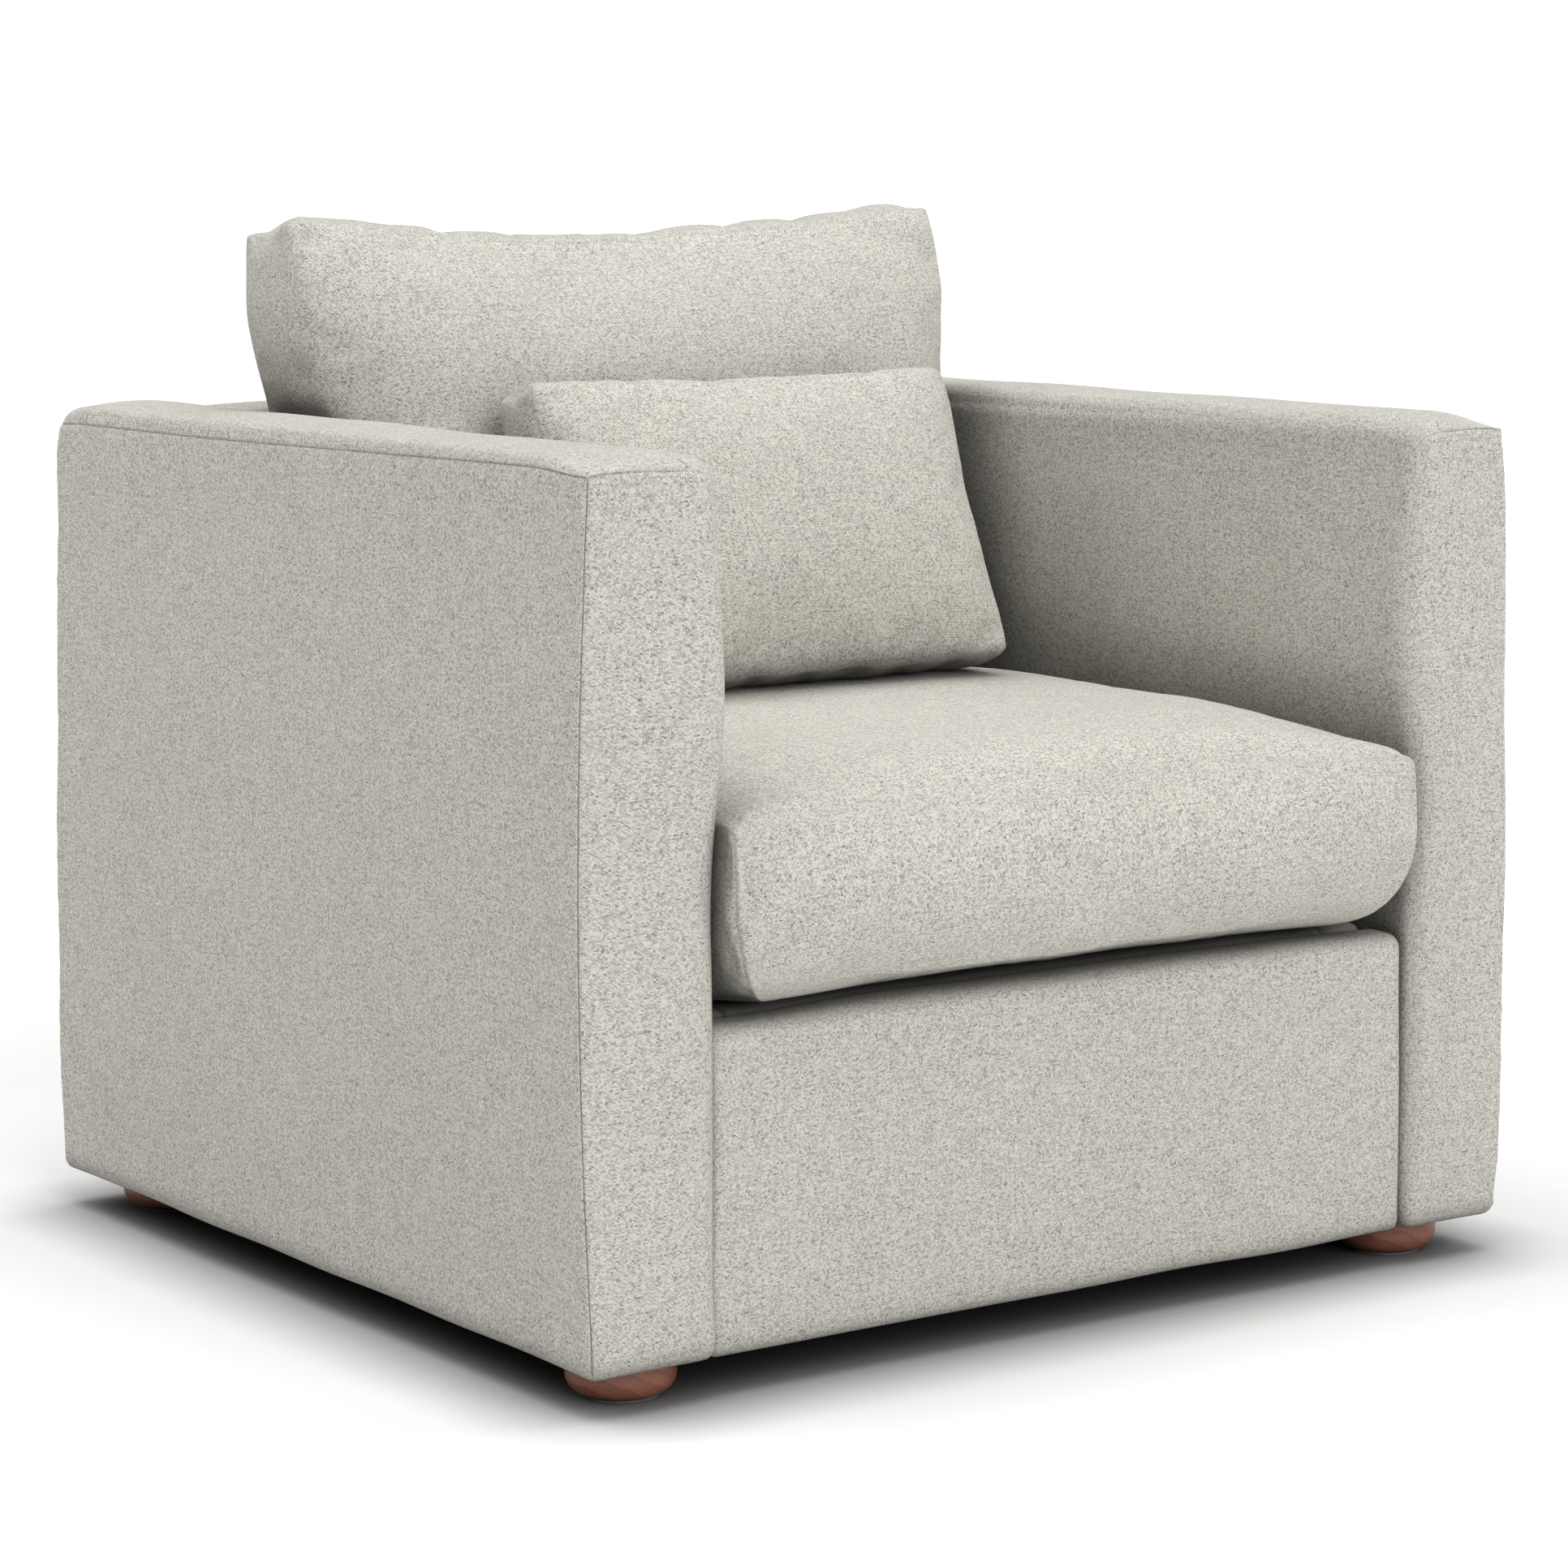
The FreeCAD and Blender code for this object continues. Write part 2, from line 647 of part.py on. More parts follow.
def front_rail_upholstery():
    """Foam and cloth over the face and top of the front rail."""
    in_face = f"({RAIL_FACE} + cloth)"
    in_top = "(rail_top - cloth)"
    rear = f"({RAIL_BOARD} + board)"
    cloth = across("rail_cloth", [
        (RAIL_FACE, "underside"),
        (RAIL_FACE, "rail_top"),
        (rear, "rail_top"),
        (rear, in_top),
        (in_face, in_top),
        (in_face, "underside"),
    ], f"2 * {BETWEEN_ARMS}")
    round_edges(cloth, "rail_round", runs_across_at((size(RAIL_FACE), size("rail_top"))))
    round_edges(cloth, "rail_round - cloth", runs_across_at((size(in_face), size(in_top))))
    node(cloth, "front_rail_cover")

    foam_face = f"({RAIL_FACE} + {LINING})"
    foam_top = f"(rail_top - {LINING})"
    back_step = f"({RAIL_BOARD} - gap)"
    clip_front = f"({RAIL_BOARD} + board / 2 - clip_depth / 2 - 1)"
    foam = across("rail_foam_block", [
        (foam_face, "frame_bottom"),
        (foam_face, foam_top),
        (rear, foam_top),
        (rear, "base_rail_top + clip_height + clearance"),
        (clip_front, "base_rail_top + clip_height + clearance"),
        (clip_front, "base_rail_top + gap"),
        (back_step, "base_rail_top + gap"),
        (back_step, "frame_bottom"),
    ], f"2 * {BETWEEN_ARMS} - 2")
    round_edges(foam, f"rail_round - {LINING}", runs_across_at((size(foam_face), size(foam_top))))
    node(foam, "front_rail_pad")


def dust_cover():
    """The thin cloth stapled under the base, holed for the foot bolts."""
    span = f"{SIDE_INNER} - clearance"
    sheet_low = "underside + gap"
    deep = (f"{RAIL_FACE} + {LINING} + gap", f"{POST_REAR} - clearance")
    whole = box("dust_sheet", (f"-({span})", span), deep, (sheet_low, f"{sheet_low} + cloth"))
    holes = [cylinder(f"dust_hole_{label}", "bolt_diameter + clearance", "2 * overrun",
                      x, y, "underside - overrun")
             for label, side, x, y in foot_centres()]
    node(cut("dust_cloth", whole, *holes), "dust_cover")


def zip_parts(prefix, centre, rotation):
    """A zip on a face whose outward normal is local +Y: its tape with the coil, and its slider."""
    def placed(item):
        item.Placement = Placement(Vector(*[size(text) for text in centre]), rotation)
        for axis, text in zip("xyz", centre):
            item.setExpression(f"Placement.Base.{axis}", linked(text))
        return item
    half = "zip_length / 2"
    tape = box(f"{prefix}_tape", (f"-{half}", half), ("-zip_tape_thick", "0"),
               ("-zip_tape / 2", "zip_tape / 2"))
    coil = cylinder(f"{prefix}_coil", "zip_coil", "zip_length - 2 * zip_end", f"-{half} + zip_end",
                    along=Vector(1, 0, 0))
    below = box(f"{prefix}_below", (f"-{half} - clearance", f"{half} + clearance"),
                ("-zip_coil", "-zip_tape_thick"), ("-zip_coil", "zip_coil"))
    node(placed(cut(f"{prefix}_closed", fuse(f"{prefix}_sewn", tape, coil), below)), f"{prefix}_zip_tape")

    start = f"(-{half} + slider_start)"
    shell = box(f"{prefix}_shell", (start, f"{start} + slider_length"),
                ("slider_play", "slider_play + slider_depth"),
                ("-slider_width / 2", "slider_width / 2"))
    channel = cylinder(f"{prefix}_channel", "zip_coil + 2 * slider_play", "slider_length + 2 * overrun",
                       f"{start} - overrun", along=Vector(1, 0, 0))
    middle = f"{start} + slider_length / 2"
    outer = "slider_play + slider_depth"
    pull = box(f"{prefix}_pull", (f"{middle} - pull_width / 2", f"{middle} + pull_width / 2"),
               (f"{outer} - pull_thick", outer), ("-pull_length", "0"))
    slider = cut(f"{prefix}_runner", fuse(f"{prefix}_runner_blank", shell, pull), channel)
    node(placed(slider), f"{prefix}_zip_slider")

    slot = box(f"{prefix}_slot", (f"-{half} - gap", f"{half} + gap"), ("-cloth - gap / 2", "clearance"),
               ("-zip_tape / 2 - gap", "zip_tape / 2 + gap"))
    return placed(group(f"{prefix}_slot_placed", [slot]))


def cushion(prefix, inner_word, outer, slot=None):
    """A cushion's cloth cover and the filling inside it, both made from its outer shape."""
    inside = grown(f"{prefix}_inside", outer, "-cloth")
    cover = cut(f"{prefix}_cloth", outer, inside)
    if slot:
        cover = cut(f"{prefix}_cloth_slotted", cover, slot)
    node(cover, f"{prefix}_cover")
    node(grown(f"{prefix}_filling", outer, f"-{LINING}"), f"{prefix}_{inner_word}")


def seat_cushion():
    """The loose seat cushion, with a swelled top and a rounded front that overhangs the rail."""
    outer = across("seat_outer", [
        ("seat_rear", "seat_low"),
        ("seat_rear", "seat_high"),
        ("-seat_front + seat_crest_back", "seat_high - seat_crest_drop"),
        ("-seat_front + seat_nose_back", "seat_high - seat_nose_drop", "arc"),
        ("-seat_front + seat_face_back", "seat_high - seat_face_drop"),
        ("-seat_front", "seat_low + seat_face_low"),
        ("-seat_front + seat_curl_back", "seat_low + seat_curl_rise", "arc"),
        ("-seat_front + seat_lip_back", "seat_low"),
    ], "seat_width")
    slot = zip_parts("seat", ("0", "seat_rear", "(seat_low + seat_high) / 2"), Rotation())
    cushion("seat_cushion", "core", outer, slot)


def back_cushion():
    """The loose back cushion: it leans on the inside back, and its front swells forward above the seat."""
    rest = "-back_cushion_gap"
    low = "back_cushion_low"
    high = "back_cushion_high"
    outer = across("back_cushion_outer", [
        (back_face(low, f"{rest} - back_heel_rise"), low),
        (back_face(f"{low} + back_heel_rise", rest), f"{low} + back_heel_rise"),
        (back_face("arm_top", rest), "arm_top"),
        ("back_swell_y", "back_swell_z", "arc"),
        ("back_rear_top_y", f"{high} - back_rear_top_drop"),
        ("back_crest_y", f"{high} - back_crest_drop", "arc"),
        ("back_front_top_y", high),
        ("back_belly_y", "back_belly_z", "arc"),
        ("back_front_low_y", f"{low} + back_front_low_rise"),
        ("back_toe_y", f"{low} + back_toe_rise", "arc"),
        ("back_sole_y", low),
    ], "back_cushion_width")
    slot = zip_parts("back", ("0", "back_zip_y", low), Rotation(Vector(1, 0, 0), -90))
    cushion("back_cushion", "fill", outer, slot)


def lumbar_pillow():
    """The small boxed pillow that leans on the back cushion."""
    outer = across("pillow_outer", [
        ("pillow_front_low_y", "pillow_front_low_z"),
        ("pillow_rear_low_y", "pillow_rear_low_z"),
        ("pillow_rear_middle_y", "pillow_rear_middle_z", "arc"),
        ("pillow_rear_high_y", "pillow_rear_high_z"),
        ("pillow_front_high_y", "pillow_front_high_z"),
        ("pillow_front_middle_y", "pillow_front_middle_z", "arc"),
    ], "pillow_width")
    cushion("lumbar_pillow", "fill", outer)


for chair_side, side_word in ((-1, "left"), (1, "right")):
    frame_side(chair_side, side_word)
frame_cross()
back_straps()
foot_fixings()
feet()
suspension()
for chair_side, side_word in ((-1, "left"), (1, "right")):
    arm_upholstery(chair_side, side_word)
back_upholstery()
front_rail_upholstery()
dust_cover()
seat_cushion()
back_cushion()
lumbar_pillow()

doc.recompute()

for item in doc.Objects:
    if any(word in item.State for word in ("Invalid", "Error")):
        raise RuntimeError(f"{item.Name} failed: {item.State}")
for item in nodes:
    if item.Shape.isNull() or not item.Shape.isValid() or not item.Shape.Solids:
        raise RuntimeError(f"{item.Label} has no valid solid")

os.makedirs("parts", exist_ok=True)
for item in nodes:
    item.Shape.exportStep(f"parts/{item.Label}.step")
print(len(nodes), "sub-parts written")
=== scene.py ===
# An upholstered armchair: heathered cloth over a tight body, with loose seat, back and lumbar cushions.
import math

import bpy
import numpy as np
from mathutils import Matrix, Vector


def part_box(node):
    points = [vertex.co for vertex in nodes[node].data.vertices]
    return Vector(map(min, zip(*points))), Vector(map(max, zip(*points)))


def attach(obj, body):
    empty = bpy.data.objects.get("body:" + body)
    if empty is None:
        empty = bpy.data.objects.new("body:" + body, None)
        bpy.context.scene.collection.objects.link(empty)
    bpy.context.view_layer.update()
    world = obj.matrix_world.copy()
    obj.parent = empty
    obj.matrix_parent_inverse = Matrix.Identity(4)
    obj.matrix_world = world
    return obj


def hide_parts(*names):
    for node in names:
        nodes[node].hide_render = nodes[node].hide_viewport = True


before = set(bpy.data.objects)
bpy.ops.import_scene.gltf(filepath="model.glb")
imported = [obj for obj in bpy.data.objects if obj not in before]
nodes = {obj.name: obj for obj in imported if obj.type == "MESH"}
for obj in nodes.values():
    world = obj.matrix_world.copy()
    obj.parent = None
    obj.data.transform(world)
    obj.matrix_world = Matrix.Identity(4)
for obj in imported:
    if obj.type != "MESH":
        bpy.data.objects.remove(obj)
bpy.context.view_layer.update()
scene = bpy.context.scene

MM = 0.001
SEAM_STEP = 1.2 * MM
GRID_STEP = 9 * MM

BODY = "chair_body"


# ---------------------------------------------------------------- numbers

def smooth(value, start, end):
    """0 before start and 1 after end, with a soft curve between; start may be the larger."""
    t = np.clip((np.asarray(value, float) - start) / (end - start), 0, 1)
    return t * t * (3 - 2 * t)


def blend(low, high, share):
    return low + (high - low) * share


def arch(value, low, high, power=1.0):
    """0 at low and high and 1 halfway."""
    t = np.clip((np.asarray(value, float) - low) / (high - low), 0, 1)
    return np.sin(np.pi * t) ** power


def ripple(points, length, seed):
    """A smooth irregular field between about -1 and 1, whose waves are about length long."""
    rng = np.random.default_rng(seed)
    total = np.zeros(len(points))
    for _ in range(9):
        way = rng.normal(size=3)
        way /= np.linalg.norm(way)
        turns = 2 * np.pi / (length * rng.uniform(0.7, 1.6))
        total += np.sin(points @ (way * turns) + rng.uniform(0, 2 * np.pi))
    return total / 4.2


# ---------------------------------------------------------------- meshes

def spaced(low, high, step=GRID_STEP, fine=(), closest=SEAM_STEP):
    """Positions from low to high about a step apart, and close together near each fine place."""
    t = np.linspace(low, high, 3000)
    gap = np.full(t.shape, float(step))
    for place in fine:
        gap = np.minimum(gap, closest + 0.2 * np.abs(t - place))
    density = 1 / gap
    count = np.concatenate([[0], np.cumsum(0.5 * (density[1:] + density[:-1]) * np.diff(t))])
    pieces = max(2, math.ceil(count[-1]))
    out = np.interp(np.linspace(0, count[-1], pieces + 1), count, t)
    for place in fine:
        out[np.abs(out - place).argmin()] = place
    out[0], out[-1] = low, high
    return out


class Box:
    """A closed box whose six sides are grids. points are its vertices and faces its quads."""

    def __init__(self, xs, ys, zs):
        shape = (len(xs), len(ys), len(zs))
        outside = np.zeros(shape, bool)
        for axis in range(3):
            for end in (0, -1):
                side = [slice(None)] * 3
                side[axis] = end
                outside[tuple(side)] = True
        index = np.full(shape, -1)
        index[outside] = np.arange(outside.sum())
        i, j, k = np.nonzero(outside)
        self.rest = np.column_stack([xs[i], ys[j], zs[k]])
        self.low = np.array([xs[0], ys[0], zs[0]])
        self.high = np.array([xs[-1], ys[-1], zs[-1]])
        faces, sides = [], []
        for axis in range(3):
            for end in (0, -1):
                side = [slice(None)] * 3
                side[axis] = end
                grid = index[tuple(side)]
                quad = np.stack([grid[:-1, :-1], grid[1:, :-1], grid[1:, 1:], grid[:-1, 1:]], axis=-1)
                quad = quad.reshape(-1, 4)
                outward = (axis != 1) == (end == -1)
                faces.append(quad if outward else quad[:, ::-1])
                sides.append(np.full(len(quad), axis * 2 + (end == -1)))
        self.faces = np.concatenate(faces)
        self.sides = np.concatenate(sides)
        flat = np.array([[1, 2], [1, 2], [0, 2], [0, 2], [0, 1], [0, 1]])
        corner = self.rest[self.faces]
        pick = flat[self.sides]
        self.uv = np.take_along_axis(corner, pick[:, None, :].repeat(4, axis=1), axis=2)
        self.uv = self.uv + (self.sides * 0.737)[:, None, None]


def rounded(points, low, high, radius):
    """A box's points carried to the same box with rounded edges, and their outward directions."""
    low, high = np.asarray(low, float), np.asarray(high, float)
    r = np.asarray(radius, float)
    r = r.reshape(-1, 1) if r.ndim == 1 else r
    core = np.clip(points, low + r, high - r)
    away = points - core
    most = np.abs(away).max(axis=1, keepdims=True)
    length = np.maximum(np.linalg.norm(away, axis=1, keepdims=True), 1e-9)
    return core + away * most / length, away / length


def make(name, points, faces, uv, seam_shade=None, keep=None):
    """A mesh object, with the strength of the shade painted along its seams as an attribute and its cloth's
    own coordinates as a UV map.
    """
    if keep is not None:
        faces, uv = faces[keep], uv[keep]
        used, back = np.unique(faces, return_inverse=True)
        faces = back.reshape(faces.shape)
        points = points[used]
        seam_shade = None if seam_shade is None else seam_shade[used]
    mesh = bpy.data.meshes.new(name)
    mesh.from_pydata(points.tolist(), [], faces.tolist())
    layer = mesh.uv_layers.new(name="UVMap")
    layer.data.foreach_set("uv", uv.reshape(-1).astype(np.float32))
    mark = mesh.attributes.new("seam_shade", "FLOAT", "POINT")
    mark.data.foreach_set("value", (np.zeros(len(points)) if seam_shade is None else seam_shade).astype(np.float32))
    mesh.polygons.foreach_set("use_smooth", np.ones(len(faces), bool))
    mesh.update()
    piece = bpy.data.objects.new(name, mesh)
    scene.collection.objects.link(piece)
    return piece


def coordinates(mesh):
    out = np.zeros(len(mesh.vertices) * 3, np.float32)
    mesh.vertices.foreach_get("co", out)
    return out.reshape(-1, 3).astype(float)


def normals(mesh):
    out = np.zeros(len(mesh.vertices) * 3, np.float32)
    mesh.vertices.foreach_get("normal", out)
    return out.reshape(-1, 3).astype(float)


def set_coordinates(mesh, points):
    mesh.vertices.foreach_set("co", points.astype(np.float32).reshape(-1))
    mesh.update()


def subdivided(piece, levels=1):
    modifier = piece.modifiers.new("smooth", "SUBSURF")
    modifier.levels = modifier.render_levels = levels
    modifier.uv_smooth = "PRESERVE_BOUNDARIES"


def finish_piece(piece, body, material, stands_for=()):
    piece.data.materials.clear()
    piece.data.materials.append(material)
    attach(piece, body)
    if stands_for:
        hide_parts(*stands_for)


# ---------------------------------------------------------------- materials

class Graph:
    """A node material under construction."""

    def __init__(self, name):
        self.material = bpy.data.materials.new(name)
        self.material.use_nodes = True
        self.nodes = self.material.node_tree.nodes
        self.links = self.material.node_tree.links
        self.nodes.clear()
        self.shader = self.nodes.new("ShaderNodeBsdfPrincipled")
        output = self.nodes.new("ShaderNodeOutputMaterial")
        self.links.new(self.shader.outputs[0], output.inputs[0])

    def put(self, socket, value):
        if isinstance(value, bpy.types.NodeSocket):
            self.links.new(value, socket)
        else:
            socket.default_value = value

    def math(self, operation, *values):
        node = self.nodes.new("ShaderNodeMath")
        node.operation = operation
        for socket, value in zip(node.inputs, values):
            self.put(socket, value)
        return node.outputs[0]

    def vector(self, x, y, z=0.0):
        node = self.nodes.new("ShaderNodeCombineXYZ")
        for socket, value in zip(node.inputs, (x, y, z)):
            self.put(socket, value)
        return node.outputs[0]

    def split(self, vector):
        node = self.nodes.new("ShaderNodeSeparateXYZ")
        self.put(node.inputs[0], vector)
        return node.outputs

    def noise(self, vector, scale, detail=2.0, roughness=0.5, distortion=0.0):
        node = self.nodes.new("ShaderNodeTexNoise")
        self.put(node.inputs["Vector"], vector)
        settings = {"Scale": scale, "Detail": detail, "Roughness": roughness, "Distortion": distortion}
        for name, value in settings.items():
            node.inputs[name].default_value = value
        return node.outputs[0]

    def random(self, vector):
        node = self.nodes.new("ShaderNodeTexWhiteNoise")
        node.noise_dimensions = "3D"
        self.put(node.inputs["Vector"], vector)
        return node.outputs["Value"]

    def mix(self, share, first, second, kind="MIX"):
        node = self.nodes.new("ShaderNodeMix")
        node.data_type = "RGBA"
        node.blend_type = kind
        self.put(node.inputs[0], share)
        self.put(node.inputs[6], first)
        self.put(node.inputs[7], second)
        return node.outputs[2]

    def remap(self, value, low, high, new_low, new_high):
        node = self.nodes.new("ShaderNodeMapRange")
        for socket, number in zip(node.inputs, (value, low, high, new_low, new_high)):
            self.put(socket, number)
        return node.outputs[0]

    def bump(self, height, distance, strength=1.0):
        node = self.nodes.new("ShaderNodeBump")
        self.put(node.inputs["Height"], height)
        node.inputs["Distance"].default_value = distance
        node.inputs["Strength"].default_value = strength
        self.links.new(node.outputs[0], self.shader.inputs["Normal"])

    def openness(self, reach, power=1.0):
        """How open the surface is to its surroundings within reach: 1 in the open and 0 in a crease. The
        materials use it to paint shade.
        """
        node = self.nodes.new("ShaderNodeAmbientOcclusion")
        node.samples = 10
        node.inputs["Distance"].default_value = reach
        return self.math("POWER", node.outputs["AO"], power)

    def place(self, kind):
        node = self.nodes.new("ShaderNodeTexCoord")
        return node.outputs[kind]

    def attribute(self, name):
        node = self.nodes.new("ShaderNodeAttribute")
        node.attribute_name = name
        return node.outputs["Fac"]

    def set(self, **values):
        for name, value in values.items():
            self.put(self.shader.inputs[name.replace("_", " ")], value)
        return self.material


def flat(colour):
    return (*colour, 1.0)


# How far the painted shade in creases reaches, and the near-black colour it darkens to.
PAINTED_SHADE_REACH = 0.085
PAINTED_CREASE_SHADE = (0.03, 0.028, 0.024)


def upholstery_cloth(name, light, dark, yarn=(1.85, 1.35), relief=0.0004):
    """A heathered plain weave: warp and weft floats in a chequer, each yarn flecked light and dark, with
    shade painted into the gaps between yarns, along the seams and into creases.
    """
    g = Graph(name)
    u, v, _ = g.split(g.place("UV"))
    wander = g.noise(g.place("UV"), 45.0, 2.0)
    across = g.math("MULTIPLY_ADD", wander, 1.1, g.math("DIVIDE", v, yarn[1] * MM))
    row = g.math("FLOOR", across)
    along = g.math("MULTIPLY_ADD", row, 0.17, g.math("DIVIDE", u, yarn[0] * MM))
    along = g.math("MULTIPLY_ADD", wander, -0.9, along)
    cell = g.math("FLOOR", along)
    over = g.math("FLOORED_MODULO", g.math("ADD", cell, row), 2.0)
    tone = g.random(g.vector(cell, row))
    fleck = g.random(g.vector(cell, row, 5.7))
    warmth = g.random(g.vector(cell, row, 3.3))
    square_u = g.math("POWER", g.math("SUBTRACT", g.math("FRACT", along), 0.5), 2.0)
    square_v = g.math("POWER", g.math("SUBTRACT", g.math("FRACT", across), 0.5), 2.0)
    sharp_u = g.math("SUBTRACT", 1.0, g.math("MULTIPLY", square_u, g.math("MULTIPLY_ADD", over, -1.9, 3.9)))
    sharp_v = g.math("SUBTRACT", 1.0, g.math("MULTIPLY", square_v, g.math("MULTIPLY_ADD", over, 1.9, 2.0)))
    height = g.math("MULTIPLY", sharp_u, sharp_v)
    fibre = g.noise(g.vector(g.math("MULTIPLY", u, 0.8), v), 1700.0, 1.0, 0.6)
    heather = g.noise(g.vector(g.math("MULTIPLY", u, 0.75), v), 520.0, 1.0, 0.6)
    streak = g.noise(g.vector(g.math("MULTIPLY", u, 0.07), v), 380.0, 1.0)
    slub = g.noise(g.vector(u, g.math("MULTIPLY", v, 0.07)), 330.0, 1.0)
    cloud = g.noise(g.place("Object"), 15.0, 2.0, 0.6)
    drift = g.noise(g.place("Object"), 3.1, 1.0)

    parts = (
        g.remap(over, 0.0, 1.0, 0.88, 0.76),
        g.remap(tone, 0.0, 1.0, -0.29, 0.26),
        g.remap(fleck, 0.0, 0.14, -0.42, 0.03),
        g.remap(fibre, 0.3, 0.7, -0.24, 0.22),
        g.remap(heather, 0.3, 0.7, -0.17, 0.13),
        g.remap(streak, 0.3, 0.7, -0.05, 0.05),
        g.remap(slub, 0.3, 0.7, -0.05, 0.05),
        g.remap(cloud, 0.3, 0.7, -0.015, 0.015),
        # Painted shade: the gaps between the yarn floats are darkened.
        g.remap(height, 0.2, 1.0, -0.36, 0.08),
    )
    share = parts[0]
    for part in parts[1:]:
        share = g.math("ADD", share, part)
    colour = g.mix(share, flat(dark), flat(light))
    colour = g.mix(g.remap(warmth, 0.0, 1.0, 0.0, 0.35), colour, flat((0.95, 0.92, 0.82)), "MULTIPLY")
    colour = g.mix(g.remap(drift, 0.3, 0.7, 0.0, 0.5), colour, flat((0.965, 0.97, 0.95)), "MULTIPLY")
    seam_shade = g.math("MINIMUM", g.attribute("seam_shade"), 1.0)
    # Painted shade: a dark line along the seams, where the stitching pulls the cloth in.
    colour = g.mix(g.math("MULTIPLY", seam_shade, 0.42), colour, flat((0.09, 0.085, 0.075)))
    # Painted shade: the cloth darkens towards near black in creases and wherever other parts close it in.
    colour = g.mix(g.remap(g.openness(PAINTED_SHADE_REACH), 0.1, 0.86, 0.66, 0.0), colour, flat(PAINTED_CREASE_SHADE))
    rise = g.math("MULTIPLY", height, g.remap(tone, 0.0, 1.0, 0.6, 1.0))
    g.bump(g.math("MULTIPLY_ADD", fibre, 0.4, rise), relief, 0.8)
    g.set(Base_Color=colour, Roughness=g.remap(tone, 0.0, 1.0, 0.86, 0.97))
    g.shader.inputs["Sheen Weight"].default_value = 0.12
    g.shader.inputs["Sheen Roughness"].default_value = 0.45
    g.shader.inputs["Sheen Tint"].default_value = flat((1.0, 0.98, 0.94))
    g.shader.inputs["Specular IOR Level"].default_value = 0.22
    return g.material


def stained_wood(name, dark, light, scale=1.0, gloss=0.42, coat=0.25):
    """Flat-sawn wood: long distorted growth rings with fine pores."""
    g = Graph(name)
    place = g.place("Object")
    x, y, z = g.split(place)
    bend = g.noise(g.vector(x, g.math("MULTIPLY", y, 0.25), z), 14.0 * scale, 3.0, 0.55)
    ring_x = g.math("ADD", g.math("MULTIPLY", x, 260.0 * scale), g.math("MULTIPLY", bend, 5.0))
    ring_z = g.math("ADD", g.math("MULTIPLY", z, 520.0 * scale), g.math("MULTIPLY", bend, 9.0))
    rings = g.math("FRACT", g.math("MULTIPLY", g.math("ADD", ring_x, ring_z), 0.16))
    pores = g.noise(g.vector(x, g.math("MULTIPLY", y, 0.06), z), 900.0 * scale, 3.0, 0.7)
    broad = g.noise(place, 22.0 * scale, 2.0)
    late_wood = g.math("MULTIPLY", g.math("POWER", rings, 2.0), 0.42)
    share = g.math("ADD", late_wood, g.remap(pores, 0.35, 0.65, 0.0, 0.42))
    share = g.math("ADD", share, g.remap(broad, 0.3, 0.7, -0.1, 0.2))
    colour = g.mix(share, flat(light), flat(dark))
    g.bump(g.math("ADD", g.math("MULTIPLY", pores, 0.7), g.math("MULTIPLY", rings, 0.3)), 0.00012, 0.7)
    g.set(Base_Color=colour, Roughness=g.remap(pores, 0.3, 0.7, gloss - 0.06, gloss + 0.12))
    g.shader.inputs["Coat Weight"].default_value = coat
    g.shader.inputs["Coat Roughness"].default_value = 0.35
    return g.material


def brushed_metal(name, colour, roughness=0.42):
    g = Graph(name)
    x, y, z = g.split(g.place("Object"))
    scratch = g.noise(g.vector(g.math("MULTIPLY", x, 0.06), y, z), 1600.0, 2.0)
    stain = g.noise(g.place("Object"), 55.0, 3.0, 0.6)
    tint = g.mix(g.remap(stain, 0.35, 0.7, 0.0, 0.7), flat(colour), flat([c * 0.6 for c in colour]))
    g.bump(scratch, 0.00006, 0.5)
    g.set(Base_Color=tint, Roughness=g.remap(scratch, 0.3, 0.7, roughness - 0.1, roughness + 0.14))
    g.shader.inputs["Metallic"].default_value = 1.0
    return g.material


def woven(name, light, dark, pitch=(1.6, 1.2), space="Object", relief=0.0003):
    """A plain weave for tapes, webbing and linings, with shade painted along seams and into creases."""
    g = Graph(name)
    x, y, z = g.split(g.place(space))
    u = g.math("DIVIDE", g.math("ADD", x, g.math("MULTIPLY", y, 0.31)), pitch[0] * MM)
    v = g.math("DIVIDE", g.math("ADD", z, g.math("MULTIPLY", y, 1.0)), pitch[1] * MM)
    warp = g.math("SINE", g.math("MULTIPLY", u, math.pi))
    weft = g.math("SINE", g.math("MULTIPLY", v, math.pi))
    waves = g.math("MULTIPLY", warp, weft)
    mottle = g.noise(g.place(space), 500.0, 3.0, 0.65)
    broad = g.noise(g.place(space), 20.0, 2.0)
    share = g.math("ADD", g.remap(waves, -1.0, 1.0, 0.1, 0.7), g.remap(mottle, 0.3, 0.7, -0.15, 0.25))
    share = g.math("ADD", share, g.remap(broad, 0.3, 0.7, -0.08, 0.08))
    colour = g.mix(share, flat(dark), flat(light))
    seam_shade = g.math("MINIMUM", g.attribute("seam_shade"), 1.0)
    # Painted shade: a dark line along the stitched seams.
    colour = g.mix(g.math("MULTIPLY", seam_shade, 0.6), colour, flat([c * 0.25 for c in dark]))
    # Painted shade: the weave darkens towards near black in creases and wherever other parts close it in.
    colour = g.mix(g.remap(g.openness(0.075), 0.0, 0.62, 0.85, 0.0), colour, flat(PAINTED_CREASE_SHADE))
    g.bump(g.math("ADD", waves, mottle), relief, 0.6)
    g.set(Base_Color=colour, Roughness=g.remap(mottle, 0.3, 0.7, 0.8, 0.95))
    g.shader.inputs["Sheen Weight"].default_value = 0.1
    g.shader.inputs["Specular IOR Level"].default_value = 0.25
    return g.material


